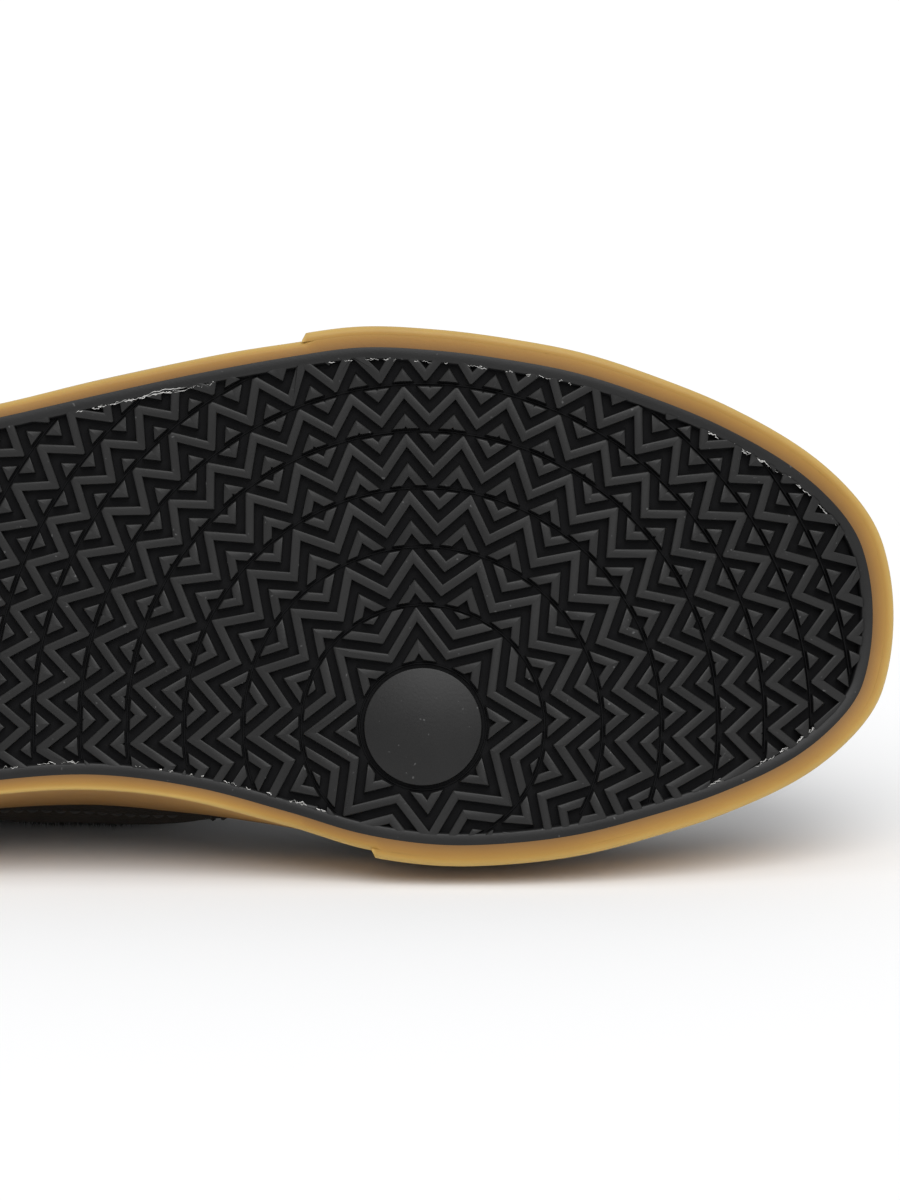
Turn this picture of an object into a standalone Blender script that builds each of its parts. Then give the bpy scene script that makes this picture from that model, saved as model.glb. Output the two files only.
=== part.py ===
"""Right skateboarding shoe, a vulcanised low top, empty and lying on its inner side.

Metres, +Z up. The pieces are shaped in the shoe's own frame: x from heel to toe, y towards the
inner side of the foot and z up from the tread, with x along the straight line that touches the
sole's inner edge at heel and ball. An empty then lays the whole shoe down on that edge.
"""

import math
from bisect import bisect_right

import bmesh
import bpy
from mathutils import Matrix, Vector
from mathutils.geometry import closest_point_on_tri

# Sole
SOLE_LENGTH = 0.2926
BALL_WIDTH = 0.1007
HEEL_SOLE = 0.012
FORE_SOLE = 0.008
TOE_SPRING = 0.013
HEEL_SPRING = 0.002
RIM_WIDTH = 0.0024
TREAD_DEPTH = 0.0018
DISC_RADIUS = 0.012

# Gum side band and the second strip round the toe
FOXING_THICKNESS = 0.0026
FOXING_HEEL_HEIGHT = 0.030
FOXING_FORE_HEIGHT = 0.024
WAIST_FLARE = 0.0037
EDGE_ROUND = 0.0006
BUMPER_THICKNESS = 0.0010
BUMPER_DROP = 0.0030

# Upper
HEEL_HEIGHT = 0.080
INSTEP_HEIGHT = 0.090
WALL = 0.0022
COLLAR_PADDING = 0.0028
QUARTER_STEP = 0.0009
EYELET_ROWS = 6
EYELET_RADIUS = 0.0021
EYELET_INSET = 0.0085

# Tongue, footbed and lace
TONGUE_THICKNESS = 0.0050
TONGUE_CROWN = 0.0020
TONGUE_RISE = 0.026
INSOLE_THICKNESS = 0.0045
LACE_WIDTH = 0.0070
LACE_THICKNESS = 0.0016

# Room between neighbours
GAP = 0.0003

# Outsole edges. Rows: station (share of SOLE_LENGTH), inner edge and outer edge (shares of
# BALL_WIDTH, both measured towards the inner side).
OUTSOLE_EDGES = (
    (0.0044, 0.230, 0.007),
    (0.0188, 0.333, -0.096),
    (0.0496, 0.418, -0.186),
    (0.0957, 0.464, -0.237),
    (0.1538, 0.476, -0.255),
    (0.2153, 0.460, -0.277),
    (0.2802, 0.424, -0.311),
    (0.3383, 0.380, -0.348),
    (0.3930, 0.354, -0.381),
    (0.4580, 0.344, -0.424),
    (0.5263, 0.369, -0.467),
    (0.5926, 0.420, -0.502),
    (0.6425, 0.463, -0.521),
    (0.6938, 0.485, -0.515),
    (0.7430, 0.483, -0.497),
    (0.7929, 0.465, -0.469),
    (0.8431, 0.428, -0.422),
    (0.8930, 0.381, -0.363),
    (0.9429, 0.313, -0.281),
    (0.9764, 0.234, -0.194),
    (0.9932, 0.158, -0.111),
)
HEEL_TIP = (0.0, 0.118)
TOE_TIP = (1.0, 0.022)
PIVOT_DISC = (0.6852, 0.246)

# Collar. Rows: share of the way along each side from heel to toe, then station, centre line and
# half width (shares of SOLE_LENGTH and BALL_WIDTH), and height (share of HEEL_HEIGHT).
COLLAR_LINE = (
    (0.00, 0.031, 0.118, 0.000, 1.000),
    (0.06, 0.042, 0.114, 0.145, 0.994),
    (0.12, 0.078, 0.104, 0.210, 0.962),
    (0.20, 0.140, 0.092, 0.246, 0.888),
    (0.28, 0.205, 0.082, 0.258, 0.824),
    (0.35, 0.272, 0.078, 0.276, 0.806),
    (0.41, 0.335, 0.076, 0.284, 0.868),
)
# Throat. The same columns, with the height as a share of INSTEP_HEIGHT.
THROAT_LINE = (
    (0.450, 0.383, 0.072, 0.262, 0.893),
    (0.475, 0.418, 0.060, 0.192, 0.972),
    (0.510, 0.506, 0.034, 0.176, 0.868),
    (0.550, 0.600, 0.008, 0.144, 0.756),
    (0.610, 0.628, 0.002, 0.120, 0.724),
    (0.700, 0.646, 0.000, 0.090, 0.700),
    (0.800, 0.659, -0.002, 0.060, 0.684),
    (0.900, 0.665, -0.004, 0.030, 0.675),
    (1.000, 0.667, -0.005, 0.000, 0.672),
)
# Side profile of the upper. Rows: share along the side, reach of the lower handle, belly on the
# inner and on the outer side and reach of the upper handle (shares of the span between foxing
# and top line), and the slope there in degrees.
PROFILE = (
    (0.00, 0.34, 0.04, 0.04, 0.32, 79),
    (0.12, 0.28, -0.02, 0.00, 0.32, 80),
    (0.20, 0.26, -0.04, -0.01, 0.32, 81),
    (0.28, 0.28, -0.02, 0.00, 0.32, 82),
    (0.41, 0.34, 0.20, 0.01, 0.32, 76),
    (0.475, 0.36, 0.19, 0.00, 0.34, 46),
    (0.55, 0.38, 0.12, 0.02, 0.40, 34),
    (0.70, 0.34, 0.04, 0.03, 0.46, 30),
    (0.85, 0.22, 0.02, 0.02, 0.48, 26),
    (1.00, 0.15, 0.01, 0.01, 0.50, 22),
)

QUARTER_SEAM = 0.545
SEAM_WIDTH = 0.004
# Columns of points along each side. Rows: share where a stretch ends, and columns within it.
COLUMNS = (
    (0.160, 8),
    (THROAT_LINE[0][0], 9),
    (THROAT_LINE[1][0], 2),
    (QUARTER_SEAM - SEAM_WIDTH / 2, 4),
    (QUARTER_SEAM + SEAM_WIDTH / 2, 1),
    (0.620, 3),
    (0.840, 6),
    (1.000, 8),
)
BUMPER_ENDS = (0.634, 0.588)
BUMPER_END_LENGTH = 0.006
# Shares of the way up the upper, from its lower edge through the foxing's top to the top line.
FOXING_ROW = 0.14
UPPER_ROWS = (0.0, FOXING_ROW, 0.17, 0.25, 0.35, 0.46, 0.57, 0.68, 0.78, 0.87, 0.95, 1.0)
TONGUE_FLAP = 0.26
TONGUE_TOP_FLAP = 0.02
TONGUE_POINTS = 13
TONGUE_STAND = 1.3
TONGUE_CORNER = 0.35
# Tongue above the eyestays. Rows: share of TONGUE_RISE, and width as a share of the throat's.
TONGUE_FREE = (
    (0.20, 0.95),
    (0.40, 1.03),
    (0.60, 1.08),
    (0.80, 1.10),
    (1.00, 1.08),
)


def smooth_step(low, high, value):
    """Ramp from 0 to 1 between low and high, flat at both ends."""
    share = min(max((value - low) / (high - low), 0.0), 1.0)
    return share * share * (3.0 - 2.0 * share)


def blend(rows, share, column):
    """Column of a table at a share between its rows, with rounded joins."""
    keys = [row[0] for row in rows]
    index = min(max(bisect_right(keys, share) - 1, 0), len(rows) - 2)
    local = (share - keys[index]) / (keys[index + 1] - keys[index])

    def slope(k):
        low = max(k - 1, 0)
        high = min(k + 1, len(rows) - 1)
        return (rows[high][column] - rows[low][column]) / (keys[high] - keys[low])

    span = keys[index + 1] - keys[index]
    a, b = rows[index][column], rows[index + 1][column]
    return hermite(a, b, slope(index) * span, slope(index + 1) * span, local)


def hermite(a, b, slope_a, slope_b, t):
    """Cubic from a to b with the given end slopes; numbers or vectors."""
    t2, t3 = t * t, t * t * t
    return a * (2 * t3 - 3 * t2 + 1) + b * (3 * t2 - 2 * t3) + slope_a * (t3 - 2 * t2 + t) + slope_b * (t3 - t2)


def around(side, share):
    """Share of the whole way round: inner side 0 to 0.5, outer side 1 back to 0.5."""
    return share / 2 if side > 0 else (1.0 - share / 2) % 1.0


def side_and_share(turn):
    """Side (+1 inner, -1 outer) and share along it of a place on the way round."""
    turn %= 1.0
    return (1, 2 * turn) if turn <= 0.5 else (-1, 2 * (1.0 - turn))


class Outline:
    """The outsole's edge as a smooth closed curve, measured along each side from heel to toe."""

    STEPS = 24

    def __init__(self):
        inner = [self.place(x, y) for x, y, _ in OUTSOLE_EDGES]
        outer = [self.place(x, y) for x, _, y in OUTSOLE_EDGES]
        knots = [self.place(*HEEL_TIP)] + inner + [self.place(*TOE_TIP)] + outer[::-1]
        dense = self.through(knots)
        half = (len(inner) + 1) * self.STEPS
        self.sides = {
            1: self.measured(dense[: half + 1]),
            -1: self.measured([dense[0]] + dense[: half - 1 : -1]),
        }

    @staticmethod
    def place(station, side):
        return Vector((station * SOLE_LENGTH, side * BALL_WIDTH))

    def through(self, knots):
        points = []
        count = len(knots)
        for k in range(count):
            before, a, b, after = (knots[(k + j) % count] for j in (-1, 0, 1, 2))
            reach = (b - a).length
            slope_a = (b - before).normalized() * reach
            slope_b = (after - a).normalized() * reach
            points += [hermite(a, b, slope_a, slope_b, j / self.STEPS) for j in range(self.STEPS)]
        return points

    @staticmethod
    def measured(points):
        lengths = [0.0]
        for a, b in zip(points, points[1:]):
            lengths.append(lengths[-1] + (b - a).length)
        return points, [value / lengths[-1] for value in lengths]

    def point(self, turn):
        side, share = side_and_share(turn)
        points, shares = self.sides[side]
        index = min(max(bisect_right(shares, share) - 1, 0), len(points) - 2)
        local = (share - shares[index]) / (shares[index + 1] - shares[index])
        return points[index].lerp(points[index + 1], local)

    def normal(self, turn):
        """Unit vector out of the outline."""
        step = 0.002
        along = self.point(turn + step) - self.point(turn - step)
        return Vector((-along.y, along.x)).normalized()


OUTLINE = Outline()


def sole_bottom(x):
    """Height of the tread: flat from heel to ball, rising at both ends."""
    toe = max((x / SOLE_LENGTH - 0.735) / 0.265, 0.0)
    heel = max((0.13 - x / SOLE_LENGTH) / 0.13, 0.0)
    return TOE_SPRING * toe**1.8 + HEEL_SPRING * heel**2


def sole_thickness(x):
    return HEEL_SOLE + (FORE_SOLE - HEEL_SOLE) * smooth_step(0.30, 0.58, x / SOLE_LENGTH)


def foxing_height(x):
    """Full over the heel, lowest at the ball and a little higher again at the toe."""
    drop = FOXING_HEEL_HEIGHT - FOXING_FORE_HEIGHT
    dip = smooth_step(0.18, 0.62, x / SOLE_LENGTH) - 0.35 * smooth_step(0.80, 1.0, x / SOLE_LENGTH)
    return FOXING_HEEL_HEIGHT - drop * dip


def waist_flare(turn):
    """How far the side wall leans out at the foxing's top: most at the inner waist."""
    side, _ = side_and_share(turn)
    station = OUTLINE.point(turn).x / SOLE_LENGTH
    strength = smooth_step(0.14, 0.44, station) * (1.0 - smooth_step(0.49, 0.64, station))
    return WAIST_FLARE * strength * (1.0 if side > 0 else 0.2)


def edge_point(turn, out, up):
    """Point beside the outsole's edge: out past it, and up from the tread along the side wall."""
    plan = OUTLINE.point(turn)
    lean = waist_flare(turn) * up / foxing_height(plan.x)
    spot = plan + OUTLINE.normal(turn) * (out + lean)
    return Vector((spot.x, spot.y, sole_bottom(plan.x) + up))


def top_line(turn):
    """Edge of collar and throat."""
    rows = [
        (share, x * SOLE_LENGTH, centre * BALL_WIDTH, half * BALL_WIDTH, z * height)
        for table, height in ((COLLAR_LINE, HEEL_HEIGHT), (THROAT_LINE, INSTEP_HEIGHT))
        for share, x, centre, half, z in table
    ]
    side, share = side_and_share(turn)
    x, centre, half, z = (blend(rows, share, column) for column in (1, 2, 3, 4))
    return Vector((x, centre + side * half, z))


def last_point(turn, rise):
    """Surface of the last, which is the inside of the upper, from sole to top line."""
    side, share = side_and_share(turn)
    x = OUTLINE.point(turn).x
    foot = edge_point(turn, -WALL, sole_thickness(x) + GAP)
    knee = edge_point(turn, -WALL, foxing_height(x) + WALL / 2)
    if rise <= FOXING_ROW:
        return foot.lerp(knee, rise / FOXING_ROW)
    top = top_line(turn)
    out = OUTLINE.normal(turn).to_3d()
    span = (top - knee).length
    low, belly_in, belly_out, high, slope = (blend(PROFILE, share, column) for column in range(1, 6))
    belly = belly_in if side > 0 else belly_out
    away = Vector((knee.x - top.x, knee.y - top.y, 0.0)).normalized()
    slope = math.radians(slope)
    first = knee + (knee - foot).normalized() * low * span + out * belly * span
    second = top + (away * math.cos(slope) - Vector((0, 0, 1)) * math.sin(slope)) * high * span
    t = (rise - FOXING_ROW) / (1.0 - FOXING_ROW)
    return knee * (1 - t) ** 3 + first * 3 * t * (1 - t) ** 2 + second * 3 * t * t * (1 - t) + top * t**3


def last_normal(turn, rise):
    """Unit vector out of the last's surface."""
    step = 0.004
    low, high = max(rise - step, 0.0), min(rise + step, 1.0)
    around_it = last_point(turn + step, rise) - last_point(turn - step, rise)
    up_it = last_point(turn, high) - last_point(turn, low)
    return up_it.cross(around_it).normalized()


def upper_wall(turn, rise):
    """Wall of the upper: one layer at the toe, a second one for the quarters, padded at the collar."""
    _, share = side_and_share(turn)
    wall = WALL
    if rise > FOXING_ROW and share < QUARTER_SEAM:
        wall += QUARTER_STEP
    collar = 1.0 - smooth_step(0.40, 0.50, share)
    roll = smooth_step(0.46, 0.80, rise) * (1.0 - 0.85 * smooth_step(0.86, 1.0, rise))
    return wall + COLLAR_PADDING * collar * roll


def column_turns():
    """Places on the way round that every ring of points uses."""
    shares = [0.0]
    for end, count in COLUMNS:
        start = shares[-1]
        shares += [start + (end - start) * (k + 1) / count for k in range(count)]
    inner = [around(1, share) for share in shares]
    outer = [around(-1, share) for share in shares[1:-1]]
    return inner + outer[::-1]


TURNS = column_turns()
HALF = len(TURNS) // 2


def new_object(name, bm, collection, material):
    bmesh.ops.recalc_face_normals(bm, faces=bm.faces)
    return mesh_object(name, bm, collection, material)


def mesh_object(name, bm, collection, material):
    mesh = bpy.data.meshes.new(name)
    bm.to_mesh(mesh)
    bm.free()
    for polygon in mesh.polygons:
        polygon.use_smooth = True
    mesh.set_sharp_from_angle(angle=math.radians(35))
    obj = bpy.data.objects.new(name, mesh)
    collection.objects.link(obj)
    if material:
        mesh.materials.append(material)
    return obj


def add_ring(bm, points):
    return [bm.verts.new(point) for point in points]


def bridge(bm, low, high, closed=True):
    """Quads between two rows of points."""
    count = len(low)
    for k in range(count if closed else count - 1):
        n = (k + 1) % count
        bm.faces.new((low[k], low[n], high[n], high[k]))


def fill_across(bm, ring):
    """Strips from the inner to the outer side, closed by a triangle at heel and toe."""
    count = len(ring)
    bm.faces.new((ring[0], ring[1], ring[count - 1]))
    for k in range(1, HALF - 1):
        bm.faces.new((ring[k], ring[k + 1], ring[count - k - 1], ring[count - k]))
    bm.faces.new((ring[HALF - 1], ring[HALF], ring[HALF + 1]))


def make_outsole(collection, material, cutters):
    """Rubber plate with a raised rim round the tread field and the pivot disc at the ball."""
    bm = bmesh.new()

    def ring(inset, lift):
        points = []
        for turn in TURNS:
            plan = OUTLINE.point(turn) - OUTLINE.normal(turn) * inset
            points.append((plan.x, plan.y, sole_bottom(OUTLINE.point(turn).x) + lift(plan.x)))
        return add_ring(bm, points)

    rings = [
        ring(RIM_WIDTH + TREAD_DEPTH / 4, lambda x: TREAD_DEPTH),
        ring(RIM_WIDTH, lambda x: 0.0),
        ring(EDGE_ROUND / 2, lambda x: 0.0),
        ring(0.0, lambda x: EDGE_ROUND / 2),
        ring(0.0, sole_thickness),
    ]
    for low, high in zip(rings, rings[1:]):
        bridge(bm, low, high)
    fill_across(bm, rings[0])
    fill_across(bm, rings[-1])
    outsole = new_object("outsole", bm, collection, material)

    disc = bmesh.new()
    bmesh.ops.create_cone(
        disc, cap_ends=True, segments=48, radius1=DISC_RADIUS, radius2=DISC_RADIUS, depth=2 * TREAD_DEPTH
    )
    boss = new_object("pivot_disc_boss", disc, cutters, None)
    boss.location = (PIVOT_DISC[0] * SOLE_LENGTH, PIVOT_DISC[1] * BALL_WIDTH, TREAD_DEPTH)
    hide_helper(boss)
    join = outsole.modifiers.new("pivot disc", "BOOLEAN")
    join.operation = "UNION"
    join.object = boss
    return outsole


def hide_helper(obj):
    obj.hide_render = True
    obj.display_type = "WIRE"


def band_section(inner, outer, top, bottom=0.0):
    """Cross-section of a side strip as (out, up) pairs, its outer edges rounded off."""
    return (
        (inner, bottom),
        (outer - EDGE_ROUND, bottom),
        (outer, bottom + EDGE_ROUND),
        (outer, top - EDGE_ROUND),
        (outer - EDGE_ROUND, top),
        (inner, top),
    )


def make_foxing(collection, material):
    """Gum band round the outsole and the foot of the upper."""
    bm = bmesh.new()
    columns = []
    for turn in TURNS:
        top = foxing_height(OUTLINE.point(turn).x)
        section = band_section(GAP, GAP + FOXING_THICKNESS, top)
        columns.append(add_ring(bm, [edge_point(turn, out, up) for out, up in section]))
    for here, there in zip(columns, columns[1:] + columns[:1]):
        bridge(bm, here, there)
    return new_object("foxing", bm, collection, material)


def make_toe_bumper(collection, material):
    """Second gum strip from the outer side round the toe to the inner side, with blunt ends."""
    start, end = around(1, BUMPER_ENDS[0]), around(-1, BUMPER_ENDS[1])
    ramp = BUMPER_END_LENGTH / 2
    inside = [turn for turn in TURNS if start + ramp < turn < end - ramp]
    turns = [start, start + ramp] + inside + [end - ramp, end]
    inner = 2 * GAP + FOXING_THICKNESS
    bm = bmesh.new()
    columns = []
    for turn in turns:
        thickness = BUMPER_THICKNESS * (0.45 if turn in (start, end) else 1.0)
        top = foxing_height(OUTLINE.point(turn).x) - BUMPER_DROP
        outer = inner + thickness
        section = ((inner, 0.0), (outer, 0.0), (outer, top - EDGE_ROUND), (outer - thickness / 2, top), (inner, top))
        columns.append(add_ring(bm, [edge_point(turn, out, up) for out, up in section]))
    for here, there in zip(columns, columns[1:]):
        bridge(bm, here, there)
    bm.faces.new(columns[0])
    bm.faces.new(columns[-1])
    return new_object("toe_bumper", bm, collection, material)


def surface_grid(bm, rows, closed):
    """Faces over rows of points that run from the bottom up, with their normals outwards."""
    for low, high in zip(rows, rows[1:]):
        count = len(low)
        for k in range(count if closed else count - 1):
            n = (k + 1) % count
            if high[n] is high[k]:
                bm.faces.new((low[k], low[n], high[n]))
            else:
                bm.faces.new((low[n], low[k], high[k], high[n]))


def thicken(obj, thickness, offset, shares=None):
    """Solidify, with each vertex's share of the thickness where shares are given."""
    shell = obj.modifiers.new("wall", "SOLIDIFY")
    shell.thickness = thickness
    shell.offset = offset
    if shares:
        group = obj.vertex_groups.new(name="wall")
        for index, share in enumerate(shares):
            group.add([index], share, "REPLACE")
        shell.vertex_group = group.name
    return shell


def make_upper(collection, material, cutters):
    """Hollow suede shell grown outwards from the last, with the lace holes cut through it."""
    thickest = WALL + QUARTER_STEP + COLLAR_PADDING
    bm = bmesh.new()
    rows = [add_ring(bm, [last_point(turn, rise) for turn in TURNS]) for rise in UPPER_ROWS]
    surface_grid(bm, rows, closed=True)
    upper = mesh_object("upper", bm, collection, material)
    shares = [upper_wall(turn, rise) / thickest for rise in UPPER_ROWS for turn in TURNS]
    thicken(upper, thickest, 1.0, shares)

    punch = bmesh.new()
    for side in (1, -1):
        for row in range(EYELET_ROWS):
            spot, normal, _ = eyelet(side, row)
            place = Matrix.Translation(spot) @ normal.to_track_quat("Z", "Y").to_matrix().to_4x4()
            bmesh.ops.create_cone(
                punch,
                cap_ends=True,
                segments=10,
                radius1=EYELET_RADIUS,
                radius2=EYELET_RADIUS,
                depth=6 * thickest,
                matrix=place,
            )
    holes = new_object("lace_holes", punch, cutters, None)
    hide_helper(holes)
    cut = upper.modifiers.new("lace holes", "BOOLEAN")
    cut.operation = "DIFFERENCE"
    cut.object = holes
    return upper


def eyelet_turn(side, row):
    """Place on the way round of a lace hole: rows evenly spaced along the throat."""
    first = THROAT_LINE[1][1] + 0.017
    last = THROAT_LINE[3][1] - 0.012
    station = (first + (last - first) * row / (EYELET_ROWS - 1)) * SOLE_LENGTH
    low, high = THROAT_LINE[1][0], THROAT_LINE[3][0]
    for _ in range(40):
        middle = (low + high) / 2
        if top_line(around(side, middle)).x < station:
            low = middle
        else:
            high = middle
    return around(side, low)


def eyelet(side, row):
    """Point and normal of a lace hole on the last's surface, and its share of the way up."""
    turn = eyelet_turn(side, row)
    edge = last_point(turn, 1.0)
    rise = 1.0
    while (last_point(turn, rise) - edge).length < EYELET_INSET:
        rise -= 0.002
    return last_point(turn, rise), last_normal(turn, rise), rise


def tongue_section(share, drop):
    """Even points across the tongue, from its inner edge under the eyestay to its outer edge."""
    top_share = THROAT_LINE[1][0]
    flap = TONGUE_TOP_FLAP + (TONGUE_FLAP - TONGUE_TOP_FLAP) * smooth_step(top_share, QUARTER_SEAM, share)
    rises = [1.0 - flap * (1.0 - k / 6) for k in range(7)]
    halves = {}
    for side in (1, -1):
        turn = around(side, share)
        halves[side] = [last_point(turn, rise) - last_normal(turn, rise) * drop for rise in rises]
    inner, outer = halves[1][-1], halves[-1][-1]
    middle = []
    for t in (0.25, 0.5, 0.75):
        crown = TONGUE_CROWN * math.sin(math.pi * t) * min(3.0 * (inner - outer).length / BALL_WIDTH, 1.0)
        middle.append(inner.lerp(outer, t) + Vector((0, 0, crown)))
    return resampled(halves[1] + middle + halves[-1][::-1], TONGUE_POINTS)


def resampled(points, count):
    """The same line with its points evenly spaced."""
    lengths = [0.0]
    for a, b in zip(points, points[1:]):
        lengths.append(lengths[-1] + (b - a).length)
    line = []
    for k in range(count):
        goal = lengths[-1] * k / (count - 1)
        index = min(max(bisect_right(lengths, goal) - 1, 0), len(points) - 2)
        local = (goal - lengths[index]) / (lengths[index + 1] - lengths[index])
        line.append(points[index].lerp(points[index + 1], local))
    return line


def make_tongue(collection, material):
    """Padded tongue: under the eyestays it follows the last, above them it stands free."""
    top_share = THROAT_LINE[1][0]
    shares = [share for share in (2 * turn for turn in TURNS[: HALF + 1]) if share > top_share]
    sections = [tongue_section(share, 2 * GAP) for share in [top_share] + shares]
    free = [free_section(sections[0], sections[2], *row) for row in TONGUE_FREE[::-1]]
    root = sections.pop()

    bm = bmesh.new()
    rows = [add_ring(bm, section) for section in free + sections]
    half = TONGUE_POINTS // 2
    fold = add_ring(bm, root[: half + 1])
    rows.append(fold + fold[:half][::-1])
    for low, high in zip(rows, rows[1:]):
        for k in range(TONGUE_POINTS - 1):
            corners = [low[k], low[k + 1], high[k + 1], high[k]]
            bm.faces.new([vertex for n, vertex in enumerate(corners) if vertex not in corners[:n]])
    tongue = mesh_object("tongue", bm, collection, material)
    shares = []
    for index in range(len(free + sections)):
        for k in range(TONGUE_POINTS):
            edge = min(k, TONGUE_POINTS - 1 - k, index) / 2
            shares.append(0.45 + 0.55 * smooth_step(0.0, 1.0, edge))
    shares += [0.45 + 0.55 * smooth_step(0.0, 2.0, k) for k in range(half + 1)]
    thicken(tongue, TONGUE_THICKNESS, -1.0, shares)
    return tongue


def free_section(top, below, rise, width):
    """Row of the tongue above the eyestays: the last section carried on upwards."""
    centre = TONGUE_POINTS // 2
    lean = (top[centre] - below[centre]).normalized() + Vector((0, 0, TONGUE_STAND))
    row = []
    for k, point in enumerate(top):
        spread = point - top[centre]
        end = top[0] if k < centre else top[-1]
        reach = spread.y / (end - top[centre]).y
        corner = TONGUE_CORNER * max((reach - 0.4) / 0.6, 0.0) ** 2
        spot = top[centre] + Vector((spread.x, spread.y * width, spread.z * (1.0 - 0.4 * rise)))
        row.append(spot + lean.normalized() * TONGUE_RISE * rise * (1.0 - corner * rise))
    return row


def make_insole(collection, material):
    """Footbed on the outsole, inside the foot of the upper."""
    bm = bmesh.new()
    inset = WALL + 2 * GAP

    def ring(extra, lift):
        points = []
        for turn in TURNS:
            x = OUTLINE.point(turn).x
            points.append(edge_point(turn, -inset - extra, sole_thickness(x) + lift))
        return add_ring(bm, points)

    rings = [
        ring(0.0, GAP),
        ring(0.0, INSOLE_THICKNESS * 0.7),
        ring(INSOLE_THICKNESS * 0.4, INSOLE_THICKNESS),
    ]
    for low, high in zip(rings, rings[1:]):
        bridge(bm, low, high)
    fill_across(bm, rings[0])
    fill_across(bm, rings[-1])
    return new_object("insole", bm, collection, material)


def make_lace_bar(row, collection, material):
    """Flat lace straight across the throat between two lace holes."""
    clear = 2 * GAP + LACE_THICKNESS / 2
    path = []
    for side in (1, -1):
        spot, normal, rise = eyelet(side, row)
        turn = eyelet_turn(side, row)
        half = []
        for share in (rise, (rise + 1.0) / 2, 1.0):
            out = last_normal(turn, share)
            half.append((last_point(turn, share) + out * (upper_wall(turn, share) + clear), out))
        path.append(half)
    inner, outer = path[0], path[1][::-1]
    up = (inner[-1][1] + outer[0][1]).normalized()
    middle = (inner[-1][0] + outer[0][0]) / 2 + up * TONGUE_CROWN / 2
    route = inner + [(middle, up)] + outer
    bm = bmesh.new()
    rings = []
    for k, (spot, out) in enumerate(route):
        before, after = route[max(k - 1, 0)][0], route[min(k + 1, len(route) - 1)][0]
        along = (after - before).normalized()
        across = along.cross(out).normalized()
        out = across.cross(along).normalized()
        ring = []
        for corner in range(8):
            angle = math.tau * (corner + 0.5) / 8
            wide = math.copysign(abs(math.cos(angle)) ** 0.3, math.cos(angle)) * LACE_WIDTH / 2
            thick = math.sin(angle) * LACE_THICKNESS / 2
            ring.append(spot + across * wide + out * thick)
        rings.append(add_ring(bm, ring))
    for low, high in zip(rings, rings[1:]):
        bridge(bm, low, high)
    bm.faces.new(rings[0])
    bm.faces.new(rings[-1])
    return new_object(f"lace_bar_{row + 1}", bm, collection, material)


def make_material(name, colour, roughness):
    material = bpy.data.materials.new(name)
    material.use_nodes = True
    shader = material.node_tree.nodes["Principled BSDF"]
    shader.inputs["Base Color"].default_value = (*colour, 1.0)
    shader.inputs["Roughness"].default_value = roughness
    shader.inputs["Metallic"].default_value = 0.0
    return material


def evaluated_points(objects):
    """World points of the finished pieces, and the centre of their volume."""
    graph = bpy.context.evaluated_depsgraph_get()
    points = []
    total = 0.0
    moment = Vector()
    for obj in objects:
        mesh = obj.evaluated_get(graph).to_mesh()
        mesh.calc_loop_triangles()
        world = [obj.matrix_world @ vertex.co for vertex in mesh.vertices]
        points += world
        for triangle in mesh.loop_triangles:
            a, b, c = (world[index] for index in triangle.vertices)
            volume = a.dot(b.cross(c)) / 6.0
            total += volume
            moment += volume * (a + b + c) / 4.0
    return points, moment / total


def is_on_upper(point):
    """Whether a point of the hull lies above the foxing."""
    return point.z > sole_bottom(point.x) + foxing_height(point.x) + WALL


def resting_turn(points, centre):
    """Rotation that lays the shoe on its inner side, on the flat that sole and upper share."""
    hull = bmesh.new()
    for point in points:
        hull.verts.new(point)
    bmesh.ops.convex_hull(hull, input=hull.verts, use_existing_faces=False)
    hull.faces.ensure_lookup_table()
    found = None
    nearest = math.inf
    for face in hull.faces:
        corners = [vertex.co for vertex in face.verts]
        normal = face.normal.copy()
        if normal.dot(corners[0] - centre) < 0.0:
            normal = -normal
        if normal.y < 0.5 or len({is_on_upper(corner) for corner in corners}) < 2:
            continue
        for k in range(1, len(corners) - 1):
            spot = closest_point_on_tri(centre, corners[0], corners[k], corners[k + 1])
            if (spot - centre).length < nearest:
                nearest = (spot - centre).length
                found = normal
    hull.free()
    down = found.rotation_difference(Vector((0, 0, -1))).to_matrix()
    sole = down @ Vector((0, 0, -1))
    yaw = -math.pi / 2 - math.atan2(sole.y, sole.x)
    return Matrix.Rotation(yaw, 3, "Z") @ down


def lay_down(objects, collection):
    """Parents everything to one empty that rests the shoe on the ground plane."""
    bpy.context.view_layer.update()
    solids = [obj for obj in objects if not obj.hide_render]
    points, centre = evaluated_points(solids)
    turn = resting_turn(points, centre)
    turned = [turn @ point for point in points]
    low = Vector([min(point[axis] for point in turned) for axis in range(3)])
    high = Vector([max(point[axis] for point in turned) for axis in range(3)])
    pose = bpy.data.objects.new("shoe_pose", None)
    collection.objects.link(pose)
    shift = Vector((-(low.x + high.x) / 2, -(low.y + high.y) / 2, -low.z))
    pose.matrix_world = Matrix.Translation(shift) @ turn.to_4x4()
    for obj in objects:
        obj.parent = pose
    bpy.context.view_layer.update()


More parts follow.
